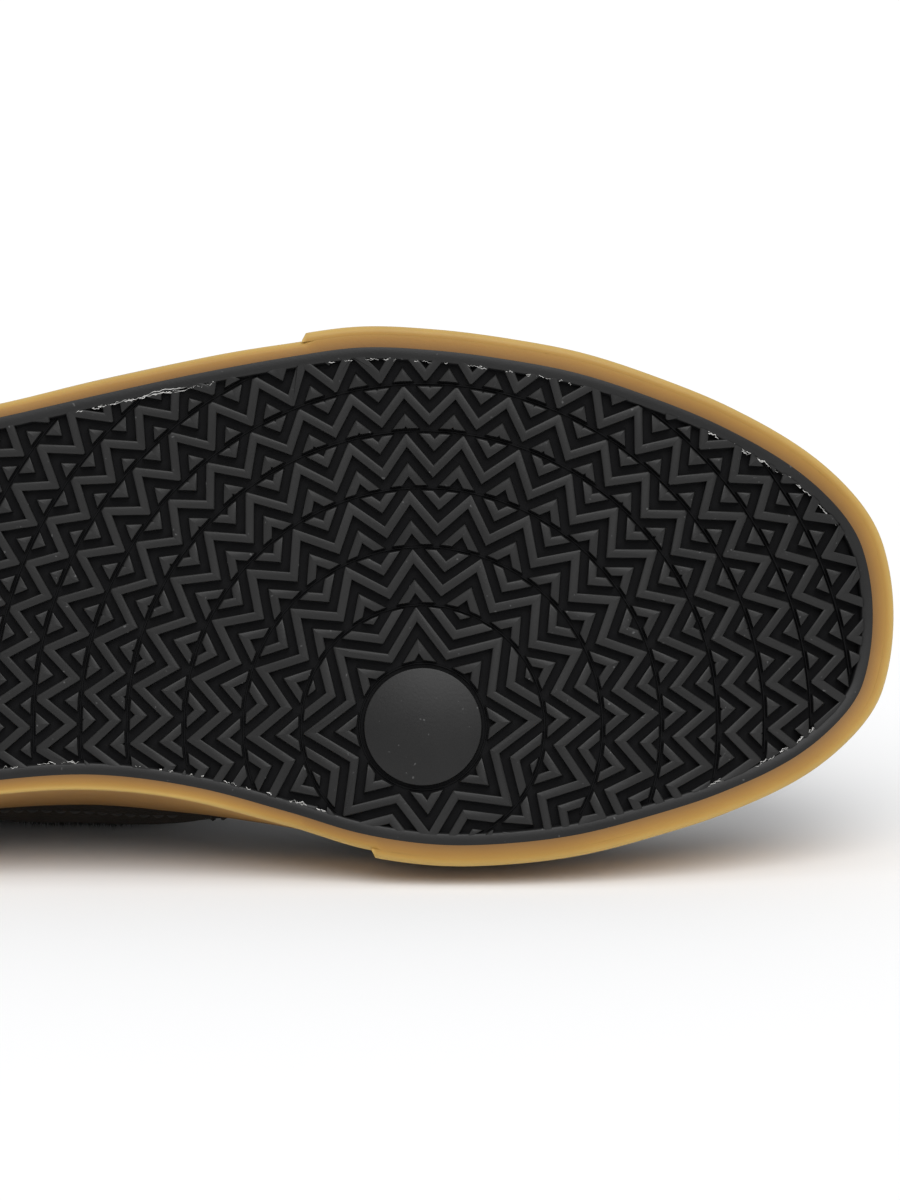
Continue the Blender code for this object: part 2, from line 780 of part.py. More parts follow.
def main():
    for obj in list(bpy.data.objects):
        bpy.data.objects.remove(obj, do_unlink=True)
    scene = bpy.context.scene
    shoe = bpy.data.collections.new("skateboarding_shoe")
    cutters = bpy.data.collections.new("cutters")
    scene.collection.children.link(shoe)
    scene.collection.children.link(cutters)

    black_rubber = make_material("black_rubber", (0.030, 0.030, 0.030), 0.55)
    gum_rubber = make_material("gum_rubber", (0.50, 0.29, 0.10), 0.45)
    suede = make_material("black_suede", (0.012, 0.010, 0.008), 0.95)
    lining = make_material("black_lining", (0.018, 0.018, 0.018), 0.90)
    cotton = make_material("black_lace", (0.016, 0.016, 0.016), 0.85)

    make_outsole(shoe, black_rubber, cutters)
    make_foxing(shoe, gum_rubber)
    make_toe_bumper(shoe, gum_rubber)
    make_upper(shoe, suede, cutters)
    make_tongue(shoe, suede)
    make_insole(shoe, lining)
    for row in range(EYELET_ROWS):
        make_lace_bar(row, shoe, cotton)
    lay_down(list(shoe.objects) + list(cutters.objects), shoe)


main()
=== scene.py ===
"""Looks of the right skateboarding shoe that lies on its inner side.

Each piece is shaped in the shoe's own frame: x from heel to toe, y towards the inner side of the
foot and z up from the tread, in metres. The pose then lays its points down on the floor.
A "turn" is a place on the way round the shoe: 0 at the heel, along the inner side to 0.5 at the
toe, and back along the outer side. A "share" is the same place measured along one side.
"""

import math
import random

import bmesh
import bpy
import numpy as np
from mathutils import Matrix, Vector

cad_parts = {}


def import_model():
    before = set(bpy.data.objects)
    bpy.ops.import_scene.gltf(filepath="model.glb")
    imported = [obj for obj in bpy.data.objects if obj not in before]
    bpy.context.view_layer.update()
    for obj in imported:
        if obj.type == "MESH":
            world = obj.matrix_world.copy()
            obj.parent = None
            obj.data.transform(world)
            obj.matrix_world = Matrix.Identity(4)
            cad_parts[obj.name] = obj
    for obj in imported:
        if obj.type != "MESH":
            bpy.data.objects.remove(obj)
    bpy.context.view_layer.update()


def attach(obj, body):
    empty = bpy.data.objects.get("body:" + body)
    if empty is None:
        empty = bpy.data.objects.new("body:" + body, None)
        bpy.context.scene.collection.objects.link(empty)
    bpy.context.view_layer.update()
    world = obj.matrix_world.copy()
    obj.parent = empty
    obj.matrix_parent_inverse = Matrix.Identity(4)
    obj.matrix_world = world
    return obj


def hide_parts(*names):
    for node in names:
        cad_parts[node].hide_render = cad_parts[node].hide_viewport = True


# World position of a point of the shoe frame, one row for each of the world's axes.
POSE = Matrix(
    (
        (0.999999, 0.001348, 0.000000, -0.146959),
        (0.000306, -0.227112, 0.973869, -0.048434),
        (0.001312, -0.973868, -0.227112, 0.056144),
        (0.0, 0.0, 0.0, 1.0),
    )
)

# Camera: square to the tread, with this point of the tread at the middle of the picture
VIEW_CENTRE = (0.2060, -0.0010)
VIEW_HEIGHT = 0.24405
VIEW_DISTANCE = 2.2
SENSOR_HEIGHT = 36.0
SKY_FROM = (0.0, -0.15, 0.99)
SKY_AT_HORIZON = 0.40
SKY_OVERHEAD = 0.94
SKY_COLOUR = (0.985, 0.99, 1.0, 1.0)
KEY_FROM = (0.15, -0.62, 0.77)
KEY_POWER = 1.6
KEY_ANGLE = 50.0
FLOOR_REACH = 12.0

# Sole
SOLE_LENGTH = 0.2926
BALL_WIDTH = 0.1007
HEEL_SOLE = 0.012
FORE_SOLE = 0.008
TOE_SPRING = 0.013
TOE_SPRING_START = 0.735
HEEL_SPRING = 0.002
HEEL_SPRING_END = 0.13
RIM_WIDTH = 0.0024
TREAD_DEPTH = 0.0018
DISC_RADIUS = 0.0120
DISC_BEVEL = 0.00035
FIELD_TANGENTS = 900

# Herringbone tread: rings round the disc, each with eight more teeth than the one inside it
RING_RADII = (0.0129, 0.0248, 0.0366, 0.0486, 0.0602, 0.0698, 0.0793, 0.0879)
RING_PITCH = 0.0096
RING_COUNT = 20
TEETH_STEP = 8
FIRST_PEAK = math.radians(-93.3)
BAR_WIDTH = 0.00185
BAR_PITCH = 0.00364
BAR_SHOULDER = 0.00040
BAR_DRAFT = 0.00010
RING_GAP = 0.0005
# Room left at the peaks and at the valleys of each ring's main ridge; the last row holds for the
# rings beyond, where less than RING_GAP blunts the corners.
RIDGE_ROOM = (
    (0.0002, 0.0014),
    (0.0003, 0.0019),
    (0.0003, 0.0023),
    (0.0002, 0.0020),
    (0.0001, 0.0010),
    (-0.0003, 0.0002),
)
# Half the length of a ridge before it is cut to its tooth, and how far ridges reach into the rim.
BAR_REACH = 0.05
RIM_OVERLAP = 0.0003
# A ridge with a smaller flat top, in square metres, is left out. Corners that lie nearer to the next
# one than SHORTEST_EDGE are dropped, and no edge of a top may be turned back by more than LARGEST_FOLD.
SMALLEST_BAR = 0.22e-6
SHORTEST_EDGE = 0.00001
LARGEST_FOLD = 0.00005
RIB_WIDTH = 0.00024
RIB_HEIGHT = 0.0004
RIB_STEPS_PER_METRE = 2400
# A tooth whose middle lies farther outside the outline than this has no ridge on the tread.
CLEAR_OUTSIDE = 0.008

# Torn threads of rubber at the rim. Rows: side, lowest and highest station of their starts, how many,
# longest and thickest.
FLASH = (
    (-1, 0.518, 0.523, 2, 0.0300, 0.00010),
    (-1, 0.470, 0.515, 2, 0.0080, 0.00013),
    (-1, 0.436, 0.540, 20, 0.0017, 0.00010),
    (-1, 0.620, 0.810, 24, 0.0020, 0.00010),
    (-1, 0.890, 0.985, 30, 0.0026, 0.00011),
    (1, 0.880, 0.970, 36, 0.0026, 0.00011),
    (1, 0.480, 0.620, 19, 0.0014, 0.00019),
    (1, 0.391, 0.443, 10, 0.0018, 0.00010),
)
FLASH_SWAY = 0.00022
FLASH_LIFT = (-0.00014, 0.00012)
FLASH_STEP = 0.0008
# Length of the outline in metres, near enough to turn a thread's length into turns.
WAY_ROUND = 0.70

# Gum side band and the second strip round the toe
FOXING_THICKNESS = 0.0026
FOXING_HEEL_HEIGHT = 0.030
FOXING_FORE_HEIGHT = 0.024
WAIST_FLARE = 0.0037
BAND_ROUND = 0.0015
BAND_ROUND_WAIST = 0.0004
BAND_ROUND_TOP = 0.0006
# Place of the side walls on the gum's ramp of painted light, between its painted shade and its painted
# highlight
WALL_PAINTED_LIGHT = 0.62
BUMPER_THICKNESS = 0.0010
BUMPER_DROP = 0.0030
BUMPER_OVERLAP = 0.0005
BAND_OVERLAP = 0.0001
BUMPER_ENDS = (0.634, 0.588)
BUMPER_END_LENGTH = 0.0045
# Colours of the gum with painted light: painted shade beside the tread and a painted highlight at the
# band's thin outer edge. Rows: share of the way from the tread to the band's thin outer edge, colour.
GUM_TONES_AND_PAINTED_LIGHT = (
    (0.05, (0.22, 0.110, 0.029)),
    (0.45, (0.34, 0.178, 0.038)),
    (0.68, (0.41, 0.232, 0.048)),
    (1.00, (0.56, 0.385, 0.115)),
)

# Upper
HEEL_HEIGHT = 0.080
INSTEP_HEIGHT = 0.090
WALL = 0.0022
COLLAR_PADDING = 0.0028
QUARTER_STEP = 0.0009
QUARTER_SEAM = 0.545
QUARTER_RAMP = 0.0012
COLLAR_SEAM_RISE = 0.50
COLLAR_SEAM_CLIMB = 0.268
EYESTAY_START = 0.462
EYESTAY_WIDTH = 0.0175
FOXING_ROW = 0.14
EYELET_ROWS = 6
EYELET_RADIUS = 0.0021
EYELET_INSET = 0.0085
CUTTER_LENGTH = 0.03

# Tongue, footbed and lace
TONGUE_THICKNESS = 0.0050
TONGUE_CROWN = 0.0020
TONGUE_RISE = 0.026
TONGUE_FLAP = 0.26
TONGUE_TOP_FLAP = 0.02
TONGUE_POINTS = 49
TONGUE_STAND = 1.3
TONGUE_CORNER = 0.35
INSOLE_THICKNESS = 0.0045
LACE_WIDTH = 0.0070
LACE_THICKNESS = 0.0016
LACE_NECK = 0.0037
LACE_SIDES = 16
LACE_STEPS = 7
# The lace widens between these distances from its ends.
LACE_OPENS = (0.0022, 0.0075)
GAP = 0.0003

# Stitches. The rows behind the quarter's front edge and beside the heel's seam are shares, those along
# collar and throat are distances below the edge, and the arch row keeps one rise.
STITCH_PITCH = 0.0029
STITCH_LENGTH = 0.0023
STITCH_RADIUS = 0.00030
QUARTER_ROWS = (0.0060, 0.0125)
HEEL_ROW = 0.0095
COLLAR_ROW = 0.0034
THROAT_ROW = 0.0028
ARCH_RISE = 0.235
SEAM_DEPTH = 0.00035
HEEL_SEAM_DEPTH = 0.0004
RIPPLE = 0.00018

# Brushed-up fibres of the raw suede at the inner waist: lowest, highest and commonest station
FIBRE_STATIONS = (0.405, 0.490, 0.440)
FIBRE_COUNT = 420
FIBRE_LENGTH = 0.0011
FIBRE_RADIUS = 0.00007

UP = np.array((0.0, 0.0, 1.0))
COLUMNS_ROUND = 560
RANDOM_SEED = 7

# Outsole edges. Rows: station (share of SOLE_LENGTH), inner edge and outer edge (shares of
# BALL_WIDTH, both measured towards the inner side).
OUTSOLE_EDGES = (
    (0.0044, 0.230, 0.007),
    (0.0188, 0.333, -0.096),
    (0.0496, 0.418, -0.186),
    (0.0957, 0.464, -0.237),
    (0.1538, 0.476, -0.255),
    (0.2153, 0.460, -0.277),
    (0.2802, 0.424, -0.311),
    (0.3383, 0.380, -0.348),
    (0.3930, 0.354, -0.381),
    (0.4580, 0.344, -0.424),
    (0.5263, 0.369, -0.467),
    (0.5926, 0.420, -0.502),
    (0.6425, 0.463, -0.521),
    (0.6938, 0.485, -0.515),
    (0.7430, 0.483, -0.497),
    (0.7929, 0.465, -0.469),
    (0.8431, 0.428, -0.422),
    (0.8930, 0.381, -0.363),
    (0.9429, 0.313, -0.281),
    (0.9764, 0.234, -0.194),
    (0.9932, 0.158, -0.111),
)
HEEL_TIP = (0.0, 0.118)
TOE_TIP = (1.0, 0.022)
PIVOT_DISC = (0.6852, 0.246)

# Collar. Rows: share along each side from heel to toe, station, centre line and half width
# (shares of SOLE_LENGTH and BALL_WIDTH), and height (share of HEEL_HEIGHT).
COLLAR_LINE = (
    (0.00, 0.031, 0.118, 0.000, 1.000),
    (0.06, 0.042, 0.114, 0.145, 0.994),
    (0.12, 0.078, 0.104, 0.210, 0.962),
    (0.20, 0.140, 0.092, 0.246, 0.888),
    (0.28, 0.205, 0.082, 0.258, 0.824),
    (0.35, 0.272, 0.078, 0.276, 0.806),
    (0.41, 0.335, 0.076, 0.284, 0.868),
)
# Throat. The same columns, with the height as a share of INSTEP_HEIGHT.
THROAT_LINE = (
    (0.450, 0.383, 0.072, 0.262, 0.893),
    (0.475, 0.418, 0.060, 0.192, 0.972),
    (0.510, 0.506, 0.034, 0.176, 0.868),
    (0.550, 0.600, 0.008, 0.144, 0.756),
    (0.610, 0.628, 0.002, 0.120, 0.724),
    (0.700, 0.646, 0.000, 0.090, 0.700),
    (0.800, 0.659, -0.002, 0.060, 0.684),
    (0.900, 0.665, -0.004, 0.030, 0.675),
    (1.000, 0.667, -0.005, 0.000, 0.672),
)
# Side profile of the upper. Rows: share along the side, reach of the lower handle, belly on the
# inner and on the outer side and reach of the upper handle (shares of the span between foxing
# and top line), and the slope there in degrees.
PROFILE = (
    (0.00, 0.34, 0.04, 0.04, 0.32, 79),
    (0.12, 0.28, -0.02, 0.00, 0.32, 80),
    (0.20, 0.26, -0.04, -0.01, 0.32, 81),
    (0.28, 0.28, -0.02, 0.00, 0.32, 82),
    (0.41, 0.34, 0.20, 0.01, 0.32, 76),
    (0.475, 0.36, 0.19, 0.00, 0.34, 46),
    (0.55, 0.38, 0.12, 0.02, 0.40, 34),
    (0.70, 0.34, 0.04, 0.03, 0.46, 30),
    (0.85, 0.22, 0.02, 0.02, 0.48, 26),
    (1.00, 0.15, 0.01, 0.01, 0.50, 22),
)
# Tongue above the eyestays. Rows: share of TONGUE_RISE, and width as a share of the throat's.
TONGUE_FREE = (
    (0.20, 0.95),
    (0.40, 1.03),
    (0.60, 1.08),
    (0.80, 1.10),
    (1.00, 1.08),
)
# Soft creases of the upper. Rows: side, share and rise of one end, share and rise of the other,
# half width and depth.
CREASES = (
    (1, 0.600, 0.30, 0.660, 0.86, 0.0034, 0.0008),
    (1, 0.690, 0.24, 0.720, 0.82, 0.0038, 0.0007),
    (-1, 0.590, 0.28, 0.650, 0.88, 0.0036, 0.0008),
    (-1, 0.680, 0.22, 0.715, 0.80, 0.0040, 0.0007),
    (1, 0.300, 0.46, 0.420, 0.62, 0.0050, 0.0010),
    (-1, 0.290, 0.44, 0.410, 0.60, 0.0052, 0.0011),
    (1, 0.180, 0.42, 0.280, 0.52, 0.0046, 0.0008),
    (-1, 0.170, 0.40, 0.270, 0.50, 0.0046, 0.0008),
)


def smooth_step(low, high, value):
    """Ramp from 0 to 1 between low and high, flat at both ends."""
    share = np.clip((value - low) / (high - low), 0.0, 1.0)
    return share * share * (3.0 - 2.0 * share)


def hermite(a, b, slope_a, slope_b, t):
    """Cubic from a to b with the given end slopes."""
    t2, t3 = t * t, t * t * t
    leaving, arriving = slope_a * (t3 - 2 * t2 + t), slope_b * (t3 - t2)
    return a * (2 * t3 - 3 * t2 + 1) + b * (3 * t2 - 2 * t3) + leaving + arriving


def blend(rows, shares, column):
    """Column of a table at shares between its rows, with rounded joins."""
    keys = np.array([row[0] for row in rows])
    values = np.array([row[column] for row in rows])
    last = len(keys) - 1
    low = np.maximum(np.arange(last + 1) - 1, 0)
    high = np.minimum(np.arange(last + 1) + 1, last)
    slopes = (values[high] - values[low]) / (keys[high] - keys[low])
    index = np.clip(np.searchsorted(keys, shares, side="right") - 1, 0, last - 1)
    span = keys[index + 1] - keys[index]
    local = (shares - keys[index]) / span
    return hermite(values[index], values[index + 1], slopes[index] * span, slopes[index + 1] * span, local)


def unit(vectors):
    """The same directions with length 1."""
    return vectors / np.linalg.norm(vectors, axis=-1, keepdims=True)


def lengths_along(points):
    """Length of a line from its start to each of its points."""
    return np.concatenate([[0.0], np.cumsum(np.linalg.norm(np.diff(points, axis=0), axis=1))])


def read_columns(goals, keys, values):
    """Every column of values at goals between its keys."""
    return np.stack([np.interp(goals, keys, column) for column in values.T], axis=-1)


def around(side, share):
    """Turn of a share along the inner (+1) or outer (-1) side."""
    return share / 2 if side > 0 else (1.0 - share / 2) % 1.0


def sides_and_shares(turns):
    """Side (+1 inner, -1 outer) and share along it of each turn."""
    turns = np.mod(turns, 1.0)
    inner = turns <= 0.5
    return np.where(inner, 1.0, -1.0), np.where(inner, 2 * turns, 2 * (1.0 - turns))


def outline_sides(steps=24):
    """The outsole's edge as dense points along each side, each with its share from heel to toe."""
    inner = [(x, y) for x, y, _ in OUTSOLE_EDGES]
    outer = [(x, y) for x, _, y in OUTSOLE_EDGES]
    knots = np.array([HEEL_TIP] + inner + [TOE_TIP] + outer[::-1]) * (SOLE_LENGTH, BALL_WIDTH)
    count = len(knots)
    t = (np.arange(steps) / steps)[:, None]
    dense = []
    for k in range(count):
        before, a, b, after = (knots[(k + j) % count] for j in (-1, 0, 1, 2))
        reach = np.linalg.norm(b - a)
        dense.append(hermite(a, b, unit(b - before) * reach, unit(after - a) * reach, t))
    dense = np.concatenate(dense)
    half = (len(inner) + 1) * steps
    sides = {}
    for side, points in ((1, dense[: half + 1]), (-1, np.concatenate([dense[:1], dense[: half - 1 : -1]]))):
        lengths = lengths_along(points)
        sides[side] = (points, lengths / lengths[-1])
    return sides


OUTLINE = outline_sides()


def plan_at(turns):
    """Points of the outsole's edge in plan."""
    side, share = sides_and_shares(turns)
    found = {key: read_columns(share, shares, points) for key, (points, shares) in OUTLINE.items()}
    return np.where((side > 0)[..., None], found[1], found[-1])


def plan_normal(turns):
    """Unit vectors out of the outline."""
    along = plan_at(turns + 0.002) - plan_at(turns - 0.002)
    return unit(np.stack([-along[..., 1], along[..., 0]], axis=-1))


def sole_bottom(x):
    """Height of the tread: flat from heel to ball, rising at both ends."""
    toe = np.maximum((x / SOLE_LENGTH - TOE_SPRING_START) / (1.0 - TOE_SPRING_START), 0.0)
    heel = np.maximum((HEEL_SPRING_END - x / SOLE_LENGTH) / HEEL_SPRING_END, 0.0)
    return TOE_SPRING * toe**1.8 + HEEL_SPRING * heel**2


def sole_thickness(x):
    """Thickest under the heel, thinning towards the ball."""
    return HEEL_SOLE + (FORE_SOLE - HEEL_SOLE) * smooth_step(0.30, 0.58, x / SOLE_LENGTH)


def foxing_height(x):
    """Full over the heel, lowest at the ball and a little higher again at the toe."""
    drop = FOXING_HEEL_HEIGHT - FOXING_FORE_HEIGHT
    dip = smooth_step(0.18, 0.62, x / SOLE_LENGTH) - 0.35 * smooth_step(0.80, 1.0, x / SOLE_LENGTH)
    return FOXING_HEEL_HEIGHT - drop * dip


def waist_flare(turns):
    """How far the side wall leans out at the foxing's top: most at the inner waist."""
    side, _ = sides_and_shares(turns)
    station = plan_at(turns)[..., 0] / SOLE_LENGTH
    strength = smooth_step(0.14, 0.44, station) * (1.0 - smooth_step(0.49, 0.64, station))
    return WAIST_FLARE * strength * np.where(side > 0, 1.0, 0.2)


def edge_points(turns, out, up):
    """Points beside the outsole's edge: out past it, and up from the tread along the side wall."""
    plan = plan_at(turns)
    lean = waist_flare(turns) * up / foxing_height(plan[..., 0])
    spot = plan + plan_normal(turns) * (out + lean)[..., None]
    return np.concatenate([spot, (sole_bottom(plan[..., 0]) + up)[..., None]], axis=-1)


def top_line(turns):
    """Edge of collar and throat."""
    rows = [
        (share, x * SOLE_LENGTH, centre * BALL_WIDTH, half * BALL_WIDTH, z * height)
        for table, height in ((COLLAR_LINE, HEEL_HEIGHT), (THROAT_LINE, INSTEP_HEIGHT))
        for share, x, centre, half, z in table
    ]
    side, share = sides_and_shares(turns)
    x, centre, half, z = (blend(rows, share, column) for column in (1, 2, 3, 4))
    return np.stack([x, centre + side * half, z], axis=-1)


def last_points(turns, rises):
    """Surface of the last, from sole to top line, for matching arrays of turns and rises."""
    turns, rises = np.broadcast_arrays(np.asarray(turns, float), np.asarray(rises, float))
    side, share = sides_and_shares(turns)
    x = plan_at(turns)[..., 0]
    foot = edge_points(turns, np.full(turns.shape, -WALL), sole_thickness(x) + GAP)
    knee = edge_points(turns, np.full(turns.shape, -WALL), foxing_height(x) + WALL / 2)
    top = top_line(turns)
    out = np.concatenate([plan_normal(turns), np.zeros(turns.shape + (1,))], axis=-1)
    span = np.linalg.norm(top - knee, axis=-1)[..., None]
    low, belly_in, belly_out, high, slope = (blend(PROFILE, share, column) for column in range(1, 6))
    belly = np.where(side > 0, belly_in, belly_out)[..., None]
    away = (knee - top) * (1.0, 1.0, 0.0)
    slope = np.radians(slope)[..., None]
    fall = unit(away) * np.cos(slope) - UP * np.sin(slope)
    first = knee + unit(knee - foot) * low[..., None] * span + out * belly * span
    second = top + fall * high[..., None] * span
    t = ((rises - FOXING_ROW) / (1.0 - FOXING_ROW))[..., None]
    curve = knee * (1 - t) ** 3 + first * 3 * t * (1 - t) ** 2 + second * 3 * t * t * (1 - t) + top * t**3
    straight = foot + (knee - foot) * (rises / FOXING_ROW)[..., None]
    return np.where((rises <= FOXING_ROW)[..., None], straight, curve)


def last_normals(turns, rises):
    """Unit vectors out of the last's surface."""
    turns, rises = np.broadcast_arrays(np.asarray(turns, float), np.asarray(rises, float))
    step = 0.004
    low, high = np.maximum(rises - step, 0.0), np.minimum(rises + step, 1.0)
    around_it = last_points(turns + step, rises) - last_points(turns - step, rises)
    up_it = last_points(turns, high) - last_points(turns, low)
    return unit(np.cross(up_it, around_it))


def wall_thickness(turns, rises):
    """Wall of the upper: one layer at the toe, a second one for the quarters, padded at the collar."""
    _, share = sides_and_shares(turns)
    quarter = 1.0 - smooth_step(QUARTER_SEAM - QUARTER_RAMP, QUARTER_SEAM + QUARTER_RAMP, share)
    collar = 1.0 - smooth_step(0.40, 0.50, share)
    roll = smooth_step(0.46, 0.80, rises) * (1.0 - 0.85 * smooth_step(0.86, 1.0, rises))
    return WALL + QUARTER_STEP * quarter * (rises > FOXING_ROW) + COLLAR_PADDING * collar * roll


def outer_points(turns, rises):
    """Points on the outside of the upper, with the normals there."""
    normals = last_normals(turns, rises)
    turns, rises = np.broadcast_arrays(np.asarray(turns, float), np.asarray(rises, float))
    return last_points(turns, rises) + normals * wall_thickness(turns, rises)[..., None], normals


# Meshes


def add_piece(name, points, faces, materials, smooth=40.0):
    """Object in the world, from points in the shoe frame."""
    turn, shift = np.array(POSE.to_3x3()), np.array(POSE.translation)
    placed = np.array(points) @ turn.T + shift
    mesh = bpy.data.meshes.new(name)
    mesh.from_pydata(placed.tolist(), [], faces)
    mesh.update()
    for material in materials:
        mesh.materials.append(material)
    obj = bpy.data.objects.new(name, mesh)
    bpy.context.scene.collection.objects.link(obj)
    shade(mesh, smooth)
    return obj


def shade(mesh, smooth):
    """Smooth shading with sharp edges above the given angle in degrees, or flat shading for None."""
    mesh.polygons.foreach_set("use_smooth", [smooth is not None] * len(mesh.polygons))
    if smooth is not None:
        mesh.set_sharp_from_angle(angle=math.radians(smooth))


def grid_faces(rows, columns, closed):
    """Quads over a grid of points stored row by row."""
    faces = []
    for low in range(0, (rows - 1) * columns, columns):
        high = low + columns
        for c in range(columns if closed else columns - 1):
            n = (c + 1) % columns
            faces.append((low + n, low + c, high + c, high + n))
    return faces


def across_faces(count, start, flip=False):
    """Faces over a ring of points, from the inner to the outer side."""
    half = count // 2
    faces = [(0, 1, count - 1)]
    faces += [(k, k + 1, count - k - 1, count - k) for k in range(1, half - 1)]
    faces.append((half - 1, half, half + 1))
    return [tuple(start + k for k in (face[::-1] if flip else face)) for face in faces]


def swept(sections, start=0, closed_path=False, open_end=False):
    """Faces of a tube through sections of equal size, capped unless it closes or its end stays open."""
    count, total = len(sections[0]), len(sections)
    faces = []
    for s in range(total if closed_path else total - 1):
        a, b = start + s * count, start + ((s + 1) % total) * count
        faces += [(a + k, a + (k + 1) % count, b + (k + 1) % count, b + k) for k in range(count)]
    if not closed_path:
        faces.append(tuple(start + k for k in range(count))[::-1])
    if not closed_path and not open_end:
        faces.append(tuple(start + (total - 1) * count + k for k in range(count)))
    return faces


def add_tube(points, faces, sections, **ends):
    """Adds a tube through sections of equal size, each a list of points."""
    faces += swept(sections, len(points), **ends)
    for section in sections:
        points += list(section)


def circle(centre, first, second, radius, count):
    """Points round a centre, starting in one direction and turning towards a second one."""
    angles = math.tau * np.arange(count) / count
    spokes = np.outer(np.cos(angles), first) + np.outer(np.sin(angles), second)
    return np.array(centre) + spokes * radius


def add_closed(name, points, faces, materials, smooth=40.0):
    """Object in the world with every face turned outwards."""
    obj = add_piece(name, points, faces, materials, smooth)
    bm = bmesh.new()
    bm.from_mesh(obj.data)
    bmesh.ops.recalc_face_normals(bm, faces=bm.faces)
    bm.to_mesh(obj.data)
    bm.free()
    return obj


def add_tube_piece(name, sections, material, smooth, **ends):
    """Object made of one tube."""
    points, faces = [], []
    add_tube(points, faces, sections, **ends)
    return add_closed(name, points, faces, [material], smooth)


def capped_grid(rows, columns):
    """Faces over rings of points, closed across the first and the last ring."""
    faces = grid_faces(rows, columns, True)
    faces += across_faces(columns, 0, flip=True)
    faces += across_faces(columns, (rows - 1) * columns)
    return faces


def apply_modifiers(obj):
    """Replaces the object's mesh by what its modifiers make of it."""
    graph = bpy.context.evaluated_depsgraph_get()
    mesh = bpy.data.meshes.new_from_object(obj.evaluated_get(graph))
    obj.modifiers.clear()
    obj.data = mesh


def even_turns(count):
    """Turns evenly spaced along each side, with the same count on both."""
    return np.arange(count) / count


# Materials


def new_material(name, colour, roughness, specular=0.5):
    """Material with its node tree and shader."""
    material = bpy.data.materials.new(name)
    material.use_nodes = True
    shader = material.node_tree.nodes["Principled BSDF"]
    shader.inputs["Base Color"].default_value = (*colour, 1.0)
    shader.inputs["Roughness"].default_value = roughness
    shader.inputs["Specular IOR Level"].default_value = specular
    return material, material.node_tree, shader


def add_node(tree, kind, **values):
    """Shader node with its properties and sockets set by name."""
    node = tree.nodes.new(kind)
    for name, value in values.items():
        if hasattr(node, name):
            setattr(node, name, value)
        else:
            node.inputs[name.replace("_", " ").title()].default_value = value
    return node


def set_sockets(shader, **values):
    """Sets the shader's sockets, with underscores in their names for the spaces."""
    for name, value in values.items():
        shader.inputs[name.replace("_", " ")].default_value = value


def object_noise(tree, scale, detail=3.0, roughness=0.55, stretch=(1.0, 1.0, 1.0)):
    """Noise in the piece's own coordinates."""
    place = tree.nodes.new("ShaderNodeTexCoord")
    mapping = tree.nodes.new("ShaderNodeMapping")
    mapping.inputs["Scale"].default_value = stretch
    noise = add_node(tree, "ShaderNodeTexNoise", scale=scale, detail=detail, roughness=roughness)
    tree.links.new(place.outputs["Object"], mapping.inputs["Vector"])
    tree.links.new(mapping.outputs["Vector"], noise.inputs["Vector"])
    return noise.outputs["Fac"]


def ramp(tree, factor, stops):
    """Colour ramp over a factor; stops are (position, colour)."""
    node = tree.nodes.new("ShaderNodeValToRGB")
    elements = node.color_ramp.elements
    while len(elements) < len(stops):
        elements.new(0.5)
    for element, (position, colour) in zip(elements, stops):
        element.position = position
        element.color = (*colour, 1.0)
    tree.links.new(factor, node.inputs["Fac"])
    return node.outputs["Color"]


def mix_colours(tree, first, second, mode):
    """Two colours joined in full by a blend mode."""
    node = add_node(tree, "ShaderNodeMix", data_type="RGBA", blend_type=mode)
    node.inputs["Factor"].default_value = 1.0
    tree.links.new(first, node.inputs["A"])
    tree.links.new(second, node.inputs["B"])
    return node.outputs["Result"]


def add_bump(tree, shader, height, distance, strength=1.0):
    """Bump on top of what the shader's normal already has."""
    bump = add_node(tree, "ShaderNodeBump", distance=distance, strength=strength)
    tree.links.new(height, bump.inputs["Height"])
    links = shader.inputs["Normal"].links
    if links:
        tree.links.new(links[0].from_socket, bump.inputs["Normal"])
    tree.links.new(bump.outputs["Normal"], shader.inputs["Normal"])


def map_range(tree, factor, low, high, socket):
    """Lets a factor from 0 to 1 drive a socket from low to high."""
    spread = add_node(tree, "ShaderNodeMapRange", to_min=low, to_max=high)
    tree.links.new(factor, spread.inputs["Value"])
    tree.links.new(spread.outputs["Result"], socket)


def tread_rubber():
    """Black rubber of the tread's tops, with a faint bloom and a little pale dust."""
    material, tree, shader = new_material("tread_rubber", (0.014, 0.014, 0.014), 0.45, 0.34)
    cloud = object_noise(tree, 55.0, detail=4.0)
    base = ramp(tree, cloud, ((0.30, (0.0056, 0.0055, 0.0054)), (0.72, (0.0095, 0.0093, 0.0091))))
    specks = object_noise(tree, 900.0, detail=1.0)
    dust = ramp(tree, specks, ((0.74, (0.0, 0.0, 0.0)), (0.80, (0.06, 0.06, 0.06))))
    tree.links.new(mix_colours(tree, base, dust, "ADD"), shader.inputs["Base Color"])
    map_range(tree, cloud, 0.34, 0.48, shader.inputs["Roughness"])
    add_bump(tree, shader, object_noise(tree, 1500.0, detail=2.0), 0.00005, 0.5)
    return material


def groove_rubber():
    """The same rubber between the ridges, where mould release and dirt leave it dull."""
    material, tree, shader = new_material("groove_rubber", (0.0065, 0.0065, 0.0070), 0.8, 0.12)
    add_bump(tree, shader, object_noise(tree, 1100.0, detail=2.0), 0.00008, 0.5)
    return material


